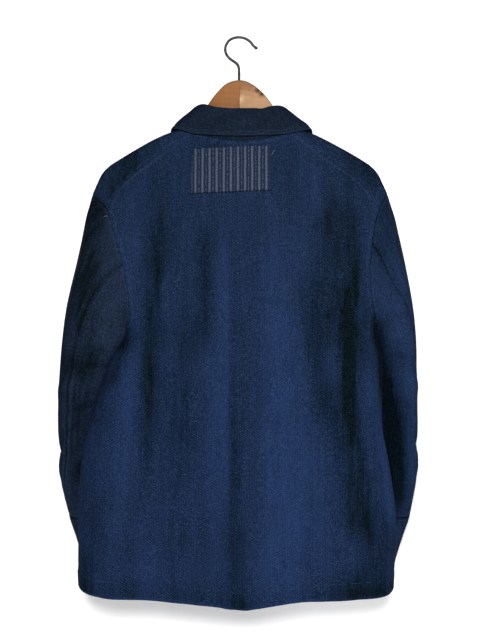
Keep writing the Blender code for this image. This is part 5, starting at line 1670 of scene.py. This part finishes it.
path = spline(HOOK, 1.6)
run = run_along(path)
to_tip = run[-1] - run
ball = np.sqrt(np.maximum(TIP ** 2 - (to_tip - TIP) ** 2, 0.04))
radius = np.where(to_tip > TIP, np.maximum(ball, WIRE), ball)
points = []
for (x, z), (way_x, way_z), r in zip(path, left_of(path), radius):
    for k in range(WIRE_SIDES):
        turn = 2 * math.pi * k / WIRE_SIDES
        out = r * math.cos(turn)
        points.append(((x + way_x * out) * MM, r * math.sin(turn) * MM, (z + way_z * out) * MM))
mesh = closed_mesh("hook_wire", points, tube_faces(len(path), WIRE_SIDES))
hook = add_object("hook_wire", mesh)
wire_look, tree, shader = new_material("tarnished wire", {"Metallic": 0.85})
tarnish = noise(tree, object_place(tree), 300.0, 4.0)
wire_up(tree, mix_colour(tree, tarnish, WIRE_DARK, WIRE_PALE), shader.inputs["Base Color"])
wire_up(tree, stretch_range(tree, tarnish, 0.35, 0.7, 0.55, 0.3), shader.inputs["Roughness"])
hook.data.materials.append(wire_look)
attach(hook, "root")
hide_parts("hook")


# ---------------------------------------------------------------- the room
# A pale wall behind the jacket and a pale floor below it.  The main light is a soft disk behind
# the camera and a little above it, nearly in line with it, with a weaker one to its right; two
# more light the front, through the wall, which is only there for a camera that sees its face.
WALL_Y = -137.0
WALL_HALF = (4000.0, 2500.0)
WALL_GLOW = 0.06
WALL_PAINT = (1.1, 1.1, 1.1)
FLOOR_Z = -1350.0
FLOOR_HALF = 6000.0
FLOOR_PAINT = (0.86, 0.86, 0.86)
ROOM_LIGHT = 0.22
CAMERA_BACK = 2000.0
CAMERA_Z = -447.0
VIEW_HEIGHT = 1016.0
SENSOR = 36.0


def stage_plane(name, corners, colour):
    """A flat part of the room in a plain matt paint; gives its material's tree and shader."""
    mesh = bpy.data.meshes.new(name)
    mesh.from_pydata([tuple(value * MM for value in corner) for corner in corners], [], [(0, 1, 2, 3)])
    plane = add_object(name, mesh)
    matt = {"Base Color": colour, "Roughness": 0.9, "Specular IOR Level": 0.1}
    material, tree, shader = new_material(name, matt)
    plane.data.materials.append(material)
    return tree, shader


wide, tall = WALL_HALF
tree, shader = stage_plane("wall", ((-wide, WALL_Y, -tall), (-wide, WALL_Y, tall), (wide, WALL_Y, tall),
                                    (wide, WALL_Y, -tall)), WALL_PAINT)
tree.nodes.remove(shader)
paint = tree.nodes.new("ShaderNodeBsdfDiffuse")
wire_up(tree, WALL_PAINT, paint.inputs["Color"])
glow = tree.nodes.new("ShaderNodeEmission")
glow.inputs["Strength"].default_value = WALL_GLOW
lit = tree.nodes.new("ShaderNodeAddShader")
wire_up(tree, paint.outputs[0], lit.inputs[0])
wire_up(tree, glow.outputs[0], lit.inputs[1])
see_through = tree.nodes.new("ShaderNodeBsdfTransparent")
path = tree.nodes.new("ShaderNodeLightPath")
facing = tree.nodes.new("ShaderNodeNewGeometry")
mix = tree.nodes.new("ShaderNodeMixShader")
front_side = math_node(tree, "SUBTRACT", 1.0, facing.outputs["Backfacing"])
seen = math_node(tree, "MULTIPLY", front_side, path.outputs["Is Camera Ray"])
for socket, value in zip(mix.inputs, (seen, see_through.outputs[0], lit.outputs[0])):
    wire_up(tree, value, socket)
wire_up(tree, mix.outputs[0], tree.nodes["Material Output"].inputs["Surface"])


half = FLOOR_HALF
stage_plane("floor", ((-half, -half, FLOOR_Z), (half, -half, FLOOR_Z), (half, half, FLOOR_Z),
                      (-half, half, FLOOR_Z)), FLOOR_PAINT)

# Each lamp: its place and width in millimetres and its power in watts.
LIGHTS = (("name", "x", "y", "z", "size", "power"),
          ("window", 70, 2480, 60, 540, 62.0),
          ("side", -2100, 1350, 60, 900, 15.0),
          ("front_left", 700, -2300, 300, 1400, 52.0),
          ("front_right", -900, -2200, -100, 1400, 26.0))
for lamp in named_rows(LIGHTS):
    data = bpy.data.lights.new(lamp["name"], "AREA")
    data.shape = "DISK"
    data.size = lamp["size"] * MM
    data.energy = lamp["power"]
    light = add_object(lamp["name"], data)
    light.location = Vector((lamp["x"], lamp["y"], lamp["z"])) * MM
    aim = Vector((0, 0, CAMERA_Z)) * MM - light.location
    light.rotation_euler = aim.to_track_quat("-Z", "Y").to_euler()

world = bpy.data.worlds.new("room")
world.use_nodes = True
background = world.node_tree.nodes["Background"]
background.inputs["Color"].default_value = (1.0, 1.0, 1.0, 1.0)
background.inputs["Strength"].default_value = ROOM_LIGHT
bpy.context.scene.world = world

camera_data = bpy.data.cameras.new("camera")
camera_data.sensor_width = SENSOR
camera_data.lens = SENSOR * CAMERA_BACK / VIEW_HEIGHT
camera = add_object("camera", camera_data)
camera.location = (0.0, CAMERA_BACK * MM, CAMERA_Z * MM)
camera.rotation_euler = (math.pi / 2, 0.0, math.pi)
bpy.context.scene.camera = camera
bpy.context.scene.view_settings.view_transform = "Standard"
